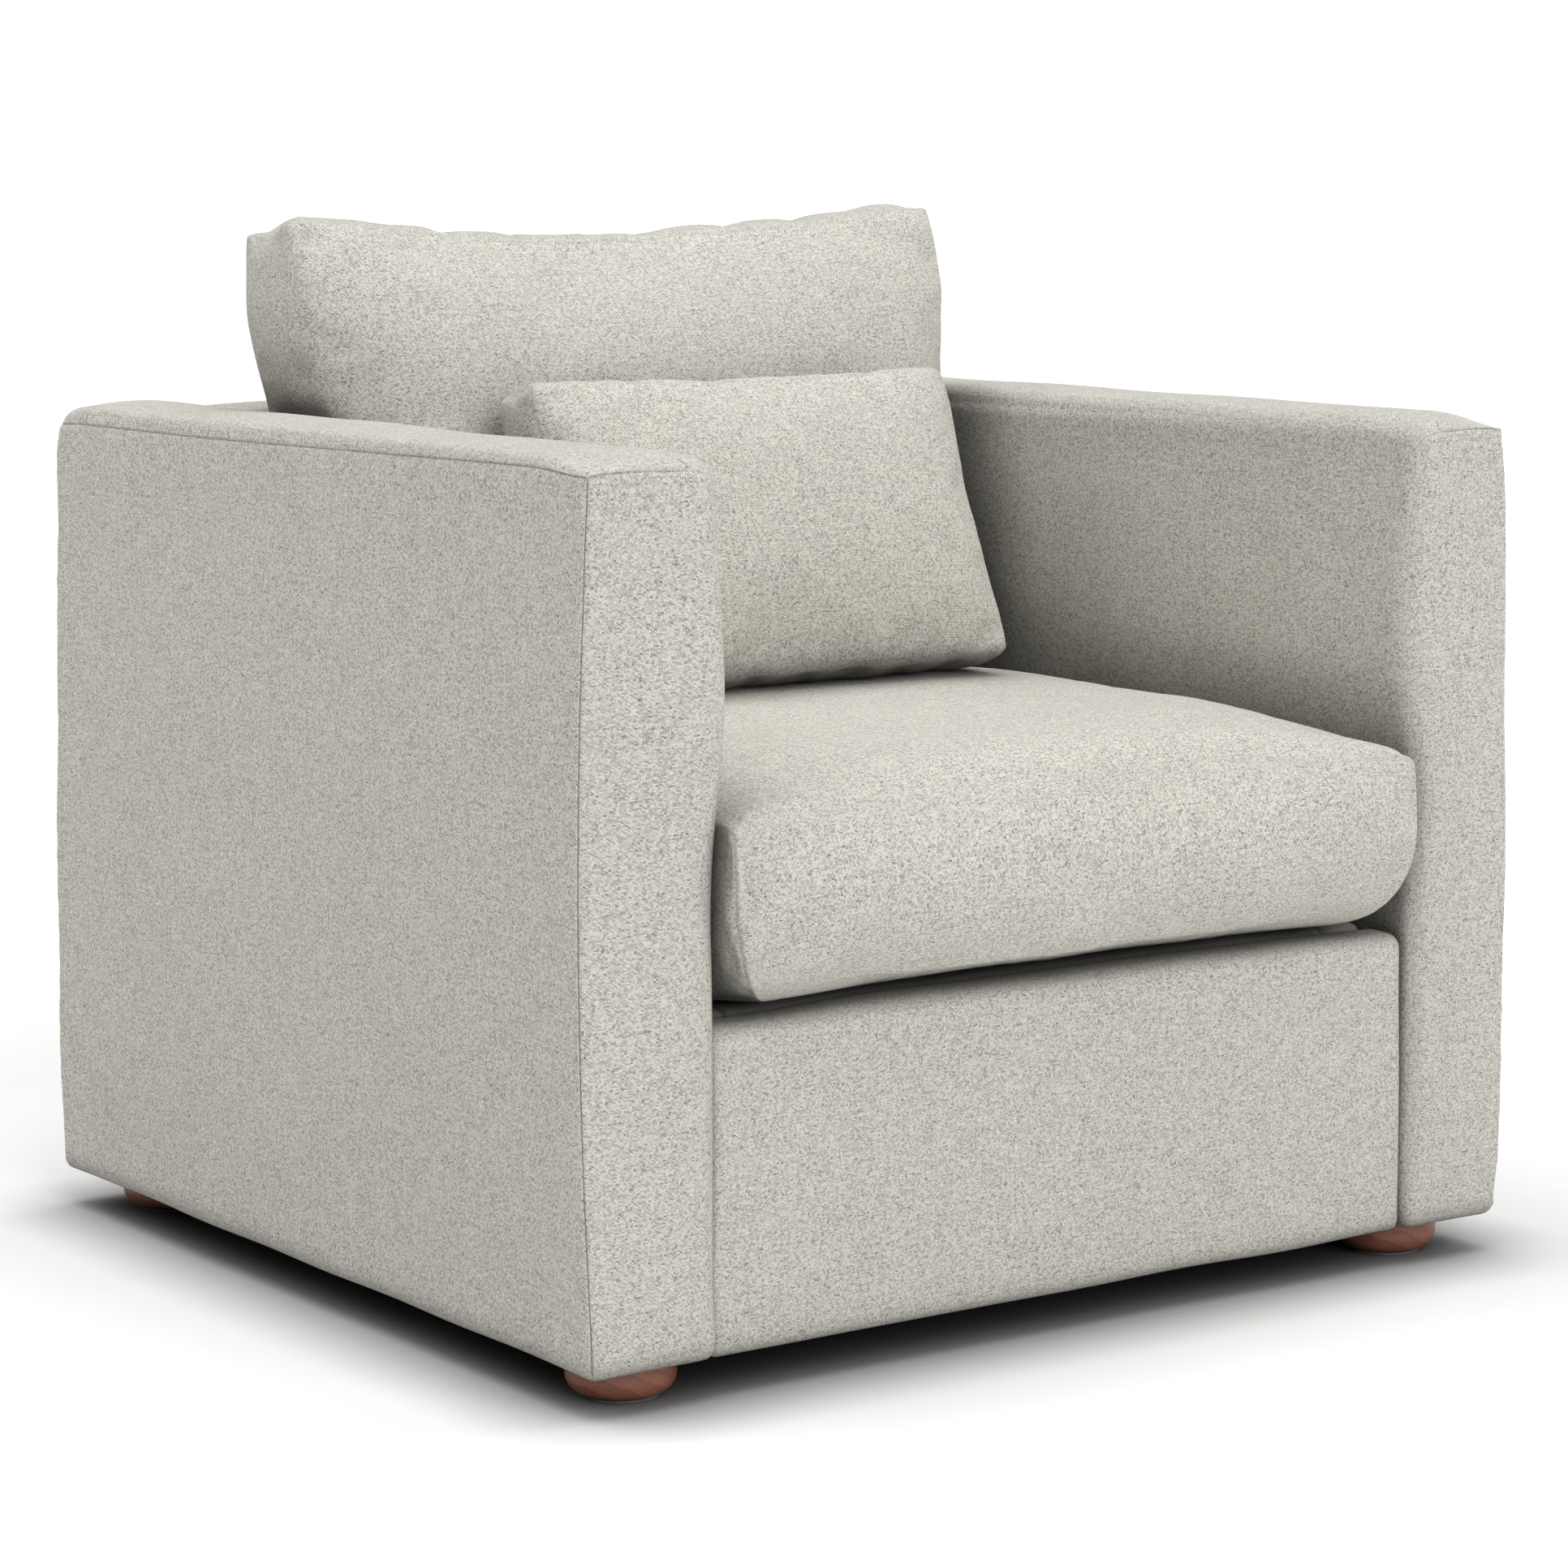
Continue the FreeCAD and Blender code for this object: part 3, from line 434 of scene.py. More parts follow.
def felted(name, light, dark, grain=700.0, relief=0.0005):
    """Pressed or foamed stuff: no threads, a fine uneven grain."""
    g = Graph(name)
    fine = g.noise(g.place("Object"), grain, 4.0, 0.75)
    coarse = g.noise(g.place("Object"), grain / 12, 3.0, 0.6)
    share = g.math("ADD", g.remap(fine, 0.3, 0.7, 0.0, 0.7), g.remap(coarse, 0.3, 0.7, 0.0, 0.3))
    g.bump(fine, relief, 0.7)
    g.set(Base_Color=g.mix(share, flat(dark), flat(light)), Roughness=g.remap(fine, 0.3, 0.7, 0.88, 1.0))
    g.shader.inputs["Specular IOR Level"].default_value = 0.2
    return g.material


CLOTH = upholstery_cloth("heathered_cloth", (0.70, 0.683, 0.630), (0.20, 0.193, 0.176))
SLOT_MATERIALS = {
    "upholstery": CLOTH,
    "foot_wood": stained_wood("stained_foot_wood", (0.125, 0.040, 0.022), (0.34, 0.125, 0.078)),
    "frame_wood": stained_wood("frame_wood_grain", (0.42, 0.28, 0.15), (0.66, 0.49, 0.31), 0.4, 0.62, 0.0),
    "filling": felted("filling_foam", (0.86, 0.82, 0.70), (0.68, 0.63, 0.50), 900.0),
    "glide_felt": felted("glide_felt_grain", (0.24, 0.23, 0.22), (0.09, 0.085, 0.08)),
    "webbing": woven("webbing_weave", (0.60, 0.50, 0.34), (0.24, 0.18, 0.10), (3.0, 2.2)),
    "dust_cloth": felted("dust_cloth_grain", (0.05, 0.05, 0.055), (0.018, 0.018, 0.02), 1400.0),
    "deck_cloth": woven("deck_cloth_weave", (0.62, 0.60, 0.555), (0.38, 0.365, 0.33), (1.0, 0.8)),
    "zip_cloth": woven("zip_tape_weave", (0.60, 0.58, 0.53), (0.33, 0.32, 0.29), (0.9, 1.4)),
    "zip_metal": brushed_metal("zip_slider_metal", (0.52, 0.50, 0.47)),
    "spring_steel": brushed_metal("spring_steel_surface", (0.36, 0.36, 0.37), 0.38),
}
for node in nodes.values():
    for place in node.material_slots:
        name = place.material.name.split(".")[0] if place.material else "filling"
        place.material = SLOT_MATERIALS.get(name, SLOT_MATERIALS["filling"])


# ---------------------------------------------------------------- arms

SIDE_SEAM_DROP = 8 * MM
ARM_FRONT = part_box("arm_cover_left")[0].y


def arm_inner_bulge(z):
    """How far an arm's inner face stands towards the seat at each height."""
    heights = [0.036, 0.30, 0.393, 0.45, 0.546, 0.63, 0.724]
    amounts = [0.0, -0.001, -0.002, 0.002, 0.0135, 0.010, 0.0]
    return np.interp(z, heights, amounts)


def smoothed_bulge(z):
    return sum(arm_inner_bulge(np.asarray(z) + shift) for shift in (-0.03, -0.015, 0, 0.015, 0.03)) / 5


def arm_front_swell(y, side):
    """How much an arm's inner face stands out near its front: the left swells, the right draws back."""
    swell = 7.5 * MM * (1 - smooth(y, ARM_FRONT + 0.012, ARM_FRONT + 0.09))
    drawn_back = 8 * MM * (1 - smooth(y, ARM_FRONT + 0.03, ARM_FRONT + 0.16))
    return np.where(np.asarray(side) > 0, -drawn_back, swell)


def arm(side, word):
    low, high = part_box(f"arm_cover_{word}")
    panel_low, panel_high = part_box(f"arm_side_panel_{word}")
    inner = min(abs(low.x), abs(high.x))
    outer = max(abs(panel_low.x), abs(panel_high.x)) - 5 * MM
    front, rear, bottom, top = low.y, high.y, low.z, high.z
    seam_z = top - SIDE_SEAM_DROP
    box = Box(
        spaced(inner, outer, fine=[outer]),
        spaced(front, rear, fine=[front, rear]),
        spaced(bottom, top, fine=[seam_z]),
    )
    a, y, z = box.rest.T
    near_rear = smooth(y, 0.27, 0.34)
    front_corner = np.exp(-(((outer - a) / 0.055) ** 2) - ((y - front) / 0.042) ** 2)
    rear_corner = np.exp(-(((outer - a) / 0.050) ** 2) - ((rear - y) / 0.040) ** 2)
    inner_radius = blend(17 * MM, 5 * MM, near_rear)
    high_up = smooth(z, top - 0.05, top - 0.012)
    at_rear = smooth(y, rear - 0.06, rear)
    outer_radius = blend(4 * MM, 10 * MM, high_up) + 5 * MM * at_rear
    radius = blend(inner_radius, outer_radius, smooth(a, inner + 0.025, outer - 0.02))
    rear_radius = blend(radius, np.maximum(radius, 19 * MM * high_up), smooth(y, rear - 0.05, rear - 0.01))
    radius = np.where(y > rear - 0.045, rear_radius, radius)
    radius = blend(13 * MM, radius, smooth(z, bottom + 0.016, bottom + 0.05))
    points, outward = rounded(box.rest, box.low, box.high, radius)

    on_outer = smooth(a, inner + 0.05, outer)
    on_inner = 1 - smooth(a, inner + 0.014, inner + 0.075)
    on_front = 1 - smooth(y, front, front + 0.05)
    on_top = smooth(z, top - 0.04, top)
    bow = arch(z, bottom, seam_z)
    front_bow = (11.0 if side < 0 else 4.5) * MM
    swell = bow * blend(front_bow, 3 * MM, smooth(y, front, front + 0.5))
    swell = swell + 3.5 * MM * bow * arch(y, front, rear) + 3 * MM * at_rear
    spread = blend((1.5 if side < 0 else 7.0) * MM, 10 * MM, smooth(y, front, rear))
    swell = swell + spread * np.clip((0.62 - z) / 0.46, 0, 1)
    swell = swell + 2 * MM * (1 - smooth(z, bottom, bottom + 0.05))
    points[:, 0] += swell * on_outer
    points[:, 0] -= (smoothed_bulge(z) + arm_front_swell(y, side)) * on_inner * (1 - smooth(y, 0.2, 0.3))
    points[:, 1] -= on_front * 6 * MM * arch(a, inner, outer, 0.8) * arch(z, bottom, top, 0.6)
    lift = blend(2.5 * MM, 6.5 * MM, smooth(y, front, front + 0.08))
    points[:, 2] += lift * smooth(z, top - 0.05, seam_z)
    seam_fall = 6 * MM * np.clip((y - front - 0.1) / 0.5, 0, 1)
    points[:, 2] -= seam_fall * smooth(z, top - 0.09, seam_z) * (1 - smooth(z, seam_z, top))
    points[:, 2] += on_top * 3.5 * MM * arch(a, inner, outer, 0.6)
    points[:, 2] -= smooth(z, seam_z, top) * 6.5 * MM * np.maximum(front_corner, 0.9 * rear_corner)
    points[:, 2] -= 4.5 * MM * (1 - smooth(z, bottom, bottom + 0.06))
    points[:, 1] += 2 * MM * at_rear * on_outer

    to_front_seam = (outer - a) + (y - front) + 1.0 * (z > seam_z + 2 * MM)
    to_rear_seam = (outer - a) + (rear - y) + 1.0 * (z > seam_z + 2 * MM)
    to_side_seam = np.abs(z - seam_z) + (outer - a)
    dart = np.abs(z - seam_z) + (y - front)
    dart_strength = smooth(a, inner + 0.016, inner + 0.034)
    seams = [(to_front_seam, 1.0), (to_rear_seam, 1.0), (to_side_seam, 1.0), (dart, dart_strength)]
    groove = np.zeros(len(a))
    # mark is how strongly shade is painted along each of the seams.
    mark = np.zeros(len(a))
    beside = np.zeros(len(a))
    for distance, strength in seams:
        stitched = 0.9 * MM * np.exp(-((distance / (1.0 * MM)) ** 2))
        stitched = stitched + 0.7 * MM * np.exp(-distance / (6 * MM))
        groove = np.maximum(groove, strength * stitched)
        mark = np.maximum(mark, strength * np.exp(-((distance / (0.7 * MM)) ** 2)))
        beside = np.maximum(beside, strength * np.exp(-distance / (14 * MM)))
    puckers = ripple(box.rest, 17 * MM, 5 if side > 0 else 6) * beside * 0.55 * MM
    waves = ripple(box.rest, 190 * MM, 7 if side > 0 else 8) * 1.0 * MM
    points += outward * (puckers + waves - groove)[:, None]

    points[:, 0] *= side
    faces = box.faces if side > 0 else box.faces[:, ::-1]
    uv = box.uv if side > 0 else box.uv[:, ::-1]
    middle = box.rest[box.faces].mean(axis=1)
    is_panel = (box.sides == 1) & (middle[:, 2] < seam_z)
    cover = make(f"arm_cover_{word}_cloth", points, faces, uv, mark, ~is_panel)
    panel = make(f"arm_side_{word}_cloth", points, faces, uv, mark, is_panel)
    finish_piece(cover, BODY, CLOTH, [f"arm_cover_{word}", f"arm_pad_{word}"])
    finish_piece(panel, BODY, CLOTH, [f"arm_side_panel_{word}"])
    return inner


for chair_side, side_word in ((-1, "left"), (1, "right")):
    arm_inner = arm(chair_side, side_word)


# ---------------------------------------------------------------- back, rail, deck and linings

inner_low, inner_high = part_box("back_inner_cover")
BACK_TOP = inner_high.z
LEAN = math.tan(math.radians(9.5))
FACE_TOP_Y = inner_low.y + LEAN * (BACK_TOP - inner_low.z)


def back_plane(z):
    """Where the inside back's face is at each height."""
    return FACE_TOP_Y - (BACK_TOP - np.asarray(z)) * LEAN


def inside_back():
    low, high = inner_low, inner_high
    box = Box(
        spaced(low.x - 1 * MM, high.x + 1 * MM, 10 * MM, [low.x, high.x], 3 * MM),
        spaced(FACE_TOP_Y, high.y, 8 * MM),
        spaced(low.z, high.z, 9 * MM),
    )
    x, y, z = box.rest.T
    on_face = 1 - smooth(y, FACE_TOP_Y, FACE_TOP_Y + 0.05)
    radius = blend(5 * MM, 30 * MM, on_face * smooth(z, low.z + 0.05, high.z - 0.03))
    side_radius = blend(radius, 5 * MM, smooth(np.abs(x), high.x - 0.03, high.x))
    radius = np.where(np.abs(x) > high.x - 0.03, side_radius, radius)
    radius = np.maximum(radius, 11 * MM * smooth(y, high.y - 0.03, high.y) * smooth(z, high.z - 0.04, high.z))
    points, outward = rounded(box.rest, box.low, box.high, radius)
    share = 1 - (points[:, 1] - FACE_TOP_Y) / (high.y - FACE_TOP_Y)
    points[:, 1] -= (high.z - points[:, 2]) * LEAN * np.clip(share, 0, 1)
    across = 1 - (np.abs(x) / high.x) ** 4
    points[:, 2] += 6.5 * MM * across * smooth(z, high.z - 0.04, high.z)
    points += outward * (ripple(box.rest, 160 * MM, 21) * 0.9 * MM)[:, None]
    piece = make("inside_back_cloth", points, box.faces, box.uv)
    finish_piece(piece, BODY, CLOTH, ["back_inner_cover", "back_pad"])


def outside_back():
    low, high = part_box("back_outer_panel")
    half = high.x - 7 * MM
    hem, head = low.z - 2 * MM, high.z - 7 * MM
    box = Box(
        spaced(-half, half, 11 * MM, [-half, half]),
        np.array([low.y - 9 * MM, low.y - 5 * MM, low.y - 2 * MM, low.y]),
        spaced(hem, head, 11 * MM, [hem, head]),
    )
    x, y, z = box.rest.T
    points, _ = rounded(box.rest, box.low, box.high, 3.5 * MM)
    outer_face = smooth(y, box.low[1], box.high[1])
    edge = np.minimum(half - np.abs(x), np.minimum(z - box.low[2], box.high[2] - z))
    tight = 1 - np.exp(-edge / (22 * MM))
    crown = arch(x, -half, half) * arch(z, box.low[2], box.high[2])
    points[:, 1] += outer_face * (1.5 * MM + 3.0 * MM * tight + 2.0 * MM * crown)
    near = np.exp(-edge / (14 * MM))
    puckers = ripple(box.rest, 18 * MM, 31) * near * 0.5 * MM
    waves = ripple(box.rest, 200 * MM, 32) * 0.8 * MM
    points[:, 1] += outer_face * (puckers + waves)
    # Painted shade along the edge where the outside back panel meets the body.
    mark = np.exp(-((y - box.low[1]) / (1.5 * MM)) ** 2)
    piece = make("outside_back_cloth", points, box.faces, box.uv, mark)
    finish_piece(piece, BODY, CLOTH, ["back_outer_panel"])


def front_rail():
    low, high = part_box("front_rail_cover")
    right_end, crest = high.x + 9 * MM, high.z + 5 * MM
    box = Box(
        spaced(low.x, right_end, 9 * MM, [low.x, right_end], 3 * MM),
        spaced(low.y - 9 * MM, high.y, 6 * MM),
        spaced(low.z - 4.5 * MM, crest, 9 * MM, [crest], 3 * MM),
    )
    x, y, z = box.rest.T
    radius = blend(9 * MM, 14 * MM, smooth(z, low.z + 0.03, high.z - 0.03))
    points, outward = rounded(box.rest, box.low, box.high, radius)
    on_front = 1 - smooth(y, low.y, high.y)
    points[:, 1] -= on_front * 3 * MM * arch(x, low.x, high.x, 0.5) * arch(z, low.z, high.z, 0.6)
    points[:, 2] += 3 * MM * arch(x, low.x, high.x) * smooth(z, high.z - 0.04, high.z)
    points += outward * (ripple(box.rest, 150 * MM, 41) * 0.8 * MM)[:, None]
    piece = make("front_rail_cloth", points, box.faces, box.uv)
    finish_piece(piece, BODY, CLOTH, ["front_rail_cover", "front_rail_pad"])


def seat_deck():
    low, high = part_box("seat_deck_cloth")
    pad_low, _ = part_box("seat_deck_pad")
    box = Box(
        spaced(low.x, high.x, 12 * MM, [low.x + 45 * MM, high.x - 45 * MM], 2 * MM),
        spaced(low.y, high.y, 12 * MM, [low.y + 60 * MM], 2 * MM),
        spaced(pad_low.z, high.z, 8 * MM),
    )
    x, y, z = box.rest.T
    points, outward = rounded(box.rest, box.low, box.high, 9 * MM)
    to_line = np.minimum(np.abs(np.abs(x) - (high.x - 45 * MM)), np.abs(y - (low.y + 60 * MM)))
    groove = np.exp(-((to_line / (3 * MM)) ** 2)) * smooth(z, pad_low.z, high.z)
    points += outward * ((ripple(box.rest, 90 * MM, 51) - 1) * 0.7 * MM - 2.2 * MM * groove)[:, None]
    # Painted shade: a dark line along the deck's stitched lines.
    mark = np.exp(-((to_line / (1.2 * MM)) ** 2))
    piece = make("seat_deck_lining", points, box.faces, box.uv, mark)
    replaced = ["seat_deck_cloth", "seat_deck_pad"]
    finish_piece(piece, BODY, SLOT_MATERIALS["deck_cloth"], replaced)


def under_lining():
    low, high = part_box("dust_cover")
    box = Box(
        spaced(low.x, high.x, 14 * MM),
        spaced(low.y, high.y, 14 * MM),
        np.array([low.z - 1.6 * MM, low.z - 0.8 * MM]),
    )
    x, y, _ = box.rest.T
    middle = arch(x, low.x, high.x, 0.7) * arch(y, low.y, high.y, 0.7)
    points = box.rest.copy()
    points[:, 2] += -1.2 * MM * middle + ripple(box.rest * [1, 1, 0], 70 * MM, 61) * 0.5 * MM
    piece = make("under_lining_cloth", points, box.faces, box.uv)
    finish_piece(piece, BODY, SLOT_MATERIALS["dust_cloth"], ["dust_cover"])


def spring_felt():
    low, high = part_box("spring_felt")
    box = Box(spaced(low.x, high.x, 16 * MM), spaced(low.y, high.y, 16 * MM), spaced(low.z, high.z, 2 * MM))
    points, _ = rounded(box.rest, box.low, box.high, 1 * MM)
    points[:, 2] += ripple(box.rest * [1, 1, 0], 60 * MM, 71) * 0.4 * MM
    piece = make("spring_felt_sheet", points, box.faces, box.uv)
    finish_piece(piece, BODY, SLOT_MATERIALS["glide_felt"], ["spring_felt"])


def back_straps():
    """Upright webbing straps, each with a woven edge, as one piece."""
    solid = nodes["back_webbing_straps"]
    where = coordinates(solid.data)
    edges = np.unique(np.round(where[:, 0], 3)).reshape(-1, 2)
    all_points, all_faces, all_uv, count = [], [], [], 0
    for left, right in edges:
        mine = where[(where[:, 0] >= left - MM) & (where[:, 0] <= right + MM)]
        low, high = mine.min(axis=0), mine.max(axis=0)
        bottom_y = mine[mine[:, 2] < low[2] + 0.004][:, 1]
        top_y = mine[mine[:, 2] > high[2] - 0.004][:, 1]
        thick = 2 * MM
        layers = np.array([0, thick / 2, thick])
        box = Box(spaced(low[0], high[0], 5 * MM), layers, spaced(low[2], high[2], 8 * MM))
        points, _ = rounded(box.rest, box.low, box.high, 0.7 * MM)
        along = (points[:, 2] - low[2]) / (high[2] - low[2])
        points[:, 1] += blend(bottom_y.min(), top_y.min(), along)
        points[:, 1] += 1.0 * MM * arch(points[:, 2], low[2], high[2])
        all_points.append(points)
        all_faces.append(box.faces + count)
        all_uv.append(box.uv)
        count += len(points)
    joined = [np.concatenate(group) for group in (all_points, all_faces, all_uv)]
    piece = make("back_webbing_weave", *joined)
    finish_piece(piece, BODY, SLOT_MATERIALS["webbing"], ["back_webbing_straps"])


inside_back()
outside_back()
front_rail()
seat_deck()
under_lining()
spring_felt()
back_straps()


# ---------------------------------------------------------------- cushions

def inflate(piece, hold, limit, pressure, slack=0.0):
    """Blows a cushion's cloth out between its seams, and keeps each point within limit of where it began."""
    start = coordinates(piece.data)
    group = piece.vertex_groups.new(name="held")
    for index in np.nonzero(hold > 0)[0]:
        group.add([int(index)], float(hold[index]), "REPLACE")
    modifier = piece.modifiers.new("cloth", "CLOTH")
    cloth = modifier.settings
    cloth.quality = 6
    cloth.mass = 0.3
    cloth.tension_stiffness = cloth.compression_stiffness = 25
    cloth.shear_stiffness = 10
    cloth.bending_stiffness = 0.6
    cloth.vertex_group_mass = "held"
    cloth.pin_stiffness = 1.0
    cloth.use_pressure = True
    cloth.uniform_pressure_force = pressure
    cloth.shrink_min = -slack
    cloth.effector_weights.gravity = 0
    modifier.collision_settings.use_collision = False
    modifier.point_cache.frame_start, modifier.point_cache.frame_end = 1, 20
    for number in range(1, 21):
        scene.frame_set(number)
    result = piece.evaluated_get(bpy.context.evaluated_depsgraph_get())
    end = coordinates(result.data)
    piece.modifiers.remove(modifier)
    piece.vertex_groups.clear()
    scene.frame_set(1)
    move = end - start
    size = np.linalg.norm(move, axis=1, keepdims=True)
    soft_size = limit * np.tanh(size / limit)
    return start + move * soft_size / np.maximum(size, 1e-9)


def softened(piece, points, distance, reach, times):
    """Rounds a cushion's edges: evens out the points near its seams, a few times over."""
    edges = np.zeros(len(piece.data.edges) * 2, np.int32)
    piece.data.edges.foreach_get("vertices", edges)
    first, second = edges.reshape(-1, 2).T
    count = np.bincount(np.concatenate([first, second]), minlength=len(points))[:, None]
    share = (0.6 * np.exp(-((distance / reach) ** 2)))[:, None]
    for _ in range(times):
        total = np.zeros_like(points)
        np.add.at(total, first, points[second])
        np.add.at(total, second, points[first])
        points = points + share * (total / count - points)
    return points


def press(value, wall, reach=6 * MM):
    """Keeps values below a wall, flattening softly as they come within reach of it."""
    depth = value - (wall - reach)
    return np.where(depth > 0, wall - reach * np.exp(-np.maximum(depth, 0) / reach), value)


def seam_relief(piece, points, distance, depth=1.3 * MM, width=1.7 * MM, line=1.0, seed=1, gathers=0.6 * MM):
    """Pulls the cloth in along the stitching of its seams, gathers it in small puckers beside them, and sets
    the strength of the shade painted along them.
    """
    set_coordinates(piece.data, points)
    outward = normals(piece.data)
    groove = depth * np.exp(-((distance / width) ** 2)) + 0.5 * depth * np.exp(-distance / (6 * MM))
    gather = ripple(points, 15 * MM, seed) * np.exp(-distance / (11 * MM)) * gathers
    broad = ripple(points, 120 * MM, seed + 1) * 1.1 * MM
    set_coordinates(piece.data, points + outward * (gather + broad - groove)[:, None])
    # Painted shade: a dark line along the stitching.
    mark = line * np.exp(-((distance / (0.9 * MM)) ** 2))
    piece.data.attributes["seam_shade"].data.foreach_set("value", mark.astype(np.float32))


def arm_wall(points, slides=False):
    """How far from the middle the arms' inner faces are beside each point, or on its way out."""
    x, y, z = points.T
    past_front = 12 * MM * (1 - smooth(y, ARM_FRONT - 0.022, ARM_FRONT))
    swell = arm_front_swell(y, np.sign(x))
    if slides:
        swell = np.maximum(swell, arm_front_swell(ARM_FRONT, np.sign(x)))
    return arm_inner - smoothed_bulge(z) - swell + past_front


SEAT_REAR_CEILING = 0.4805
SEAT_FRONT_CEILING = 0.4915
PILLOW_FLOOR = 0.4885
STRAIGHT_BELOW = 0.70


def seat_cushion():
    low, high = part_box("seat_cushion_cover")
    half = high.x - 4 * MM
    front, rear = low.y + 27 * MM, high.y - 1.2 * MM
    bottom, top = low.z + 0.4 * MM, high.z - 29 * MM
    box = Box(
        spaced(-half, half, 11 * MM, [-half, half], 2.4 * MM),
        spaced(front, rear, 10 * MM, [front], 3 * MM),
        spaced(bottom, top, 9 * MM, [top], 3 * MM),
    )
    x, y, z = box.rest.T
    share = np.abs(x) / half
    at_front = 1 - smooth(y, front + 0.05, front + 0.24)
    upper_radius = blend(52 * MM, 13 * MM, smooth(share, 0.45, 1.0))
    lower_radius = blend(80 * MM, 62 * MM, smooth(share, 0.5, 1.0))
    front_radius = blend(lower_radius, upper_radius, smooth(z, 0.375, 0.405))
    radius = blend(9 * MM, front_radius, at_front)
    points = box.rest.copy()
    points[:, 1:], _ = rounded(box.rest[:, 1:], box.low[1:], box.high[1:], radius)
    _, py, pz = points.T
    middle_z = (bottom + top) / 2
    behind = smooth(py, front - 0.03, front + 0.14)
    crown = blend(18, 41, behind) * MM * (1 - share**3.2) * (1 - 0.45 * smooth(py, 0.02, 0.20))
    edge_rise = 13 * MM * share**3 * smooth(py, front + 0.04, front + 0.24)
    points[:, 2] += smooth(pz, middle_z, top) * (crown + edge_rise)
    forward = 1 - smooth(py, front, front + 0.10)
    points[:, 1] -= forward * 25 * MM * (1 - share**2.6) * arch(pz, bottom - 0.02, top + 0.03, 0.9)
    drop = np.clip((0.392 - pz) / 0.091, 0, 1)
    curl = 1 - np.sqrt(1 - drop**2)
    tuck = curl * (1 - smooth(py, front + 0.050, front + 0.13))
    points[:, 0] -= np.sign(x) * 58 * MM * tuck * share**5
    points[:, 2] += 3 * MM * tuck + 6 * MM * curl * forward * (1 - share**2)
    on_side = np.abs(x) >= half - 1e-6
    puff = arch(pz, bottom, top, 0.7) * arch(py, front, rear, 0.25)
    points[:, 0] += np.sign(x) * on_side * 2.5 * MM * puff
    piece = make("seat_cushion_cloth", points, box.faces, box.uv)

    edge_y = np.minimum(y - front, rear - y)
    edge_z = np.minimum(z - bottom, top - z)
    rim = on_side & ((edge_y < 1e-6) | (edge_z < 1e-6))
    distance = np.where(on_side, np.minimum(edge_y, edge_z), half - np.abs(x))
    upper = smooth(z, 0.40, top) * smooth(y, front + 0.002, front + 0.03)
    to_upper = np.where(on_side, top - z, half - np.abs(x)) + 0.08 * (1 - upper)
    rear_held = (rear - y < 1e-6) | (z - bottom < 1e-6)
    hold = np.where(rim, 1.0, np.where(rear_held, 0.6, 0.0))
    points = inflate(piece, hold, 7 * MM, 2.0, 0.012)
    points = softened(piece, points, to_upper, 20 * MM, 30)
    points = softened(piece, points, distance, 6 * MM, 2)
    points[:, 1] = press(points[:, 1], rear + 0.3 * MM)
    ceiling = np.where(points[:, 1] > 0.09, SEAT_REAR_CEILING, SEAT_FRONT_CEILING)
    points[:, 2] = press(points[:, 2], ceiling)
    points[:, 2] = -press(-points[:, 2], -bottom, 3 * MM)
    wall = arm_wall(points, slides=True) - 1.5 * MM
    points[:, 0] = np.sign(points[:, 0]) * press(np.abs(points[:, 0]), wall, 3 * MM)
    seam_relief(piece, points, distance + 0.004 * upper, 1.1 * MM, seed=101)
    subdivided(piece)
    replaced = ["seat_cushion_cover", "seat_cushion_core"]
    finish_piece(piece, "seat_cushion", CLOTH, replaced)


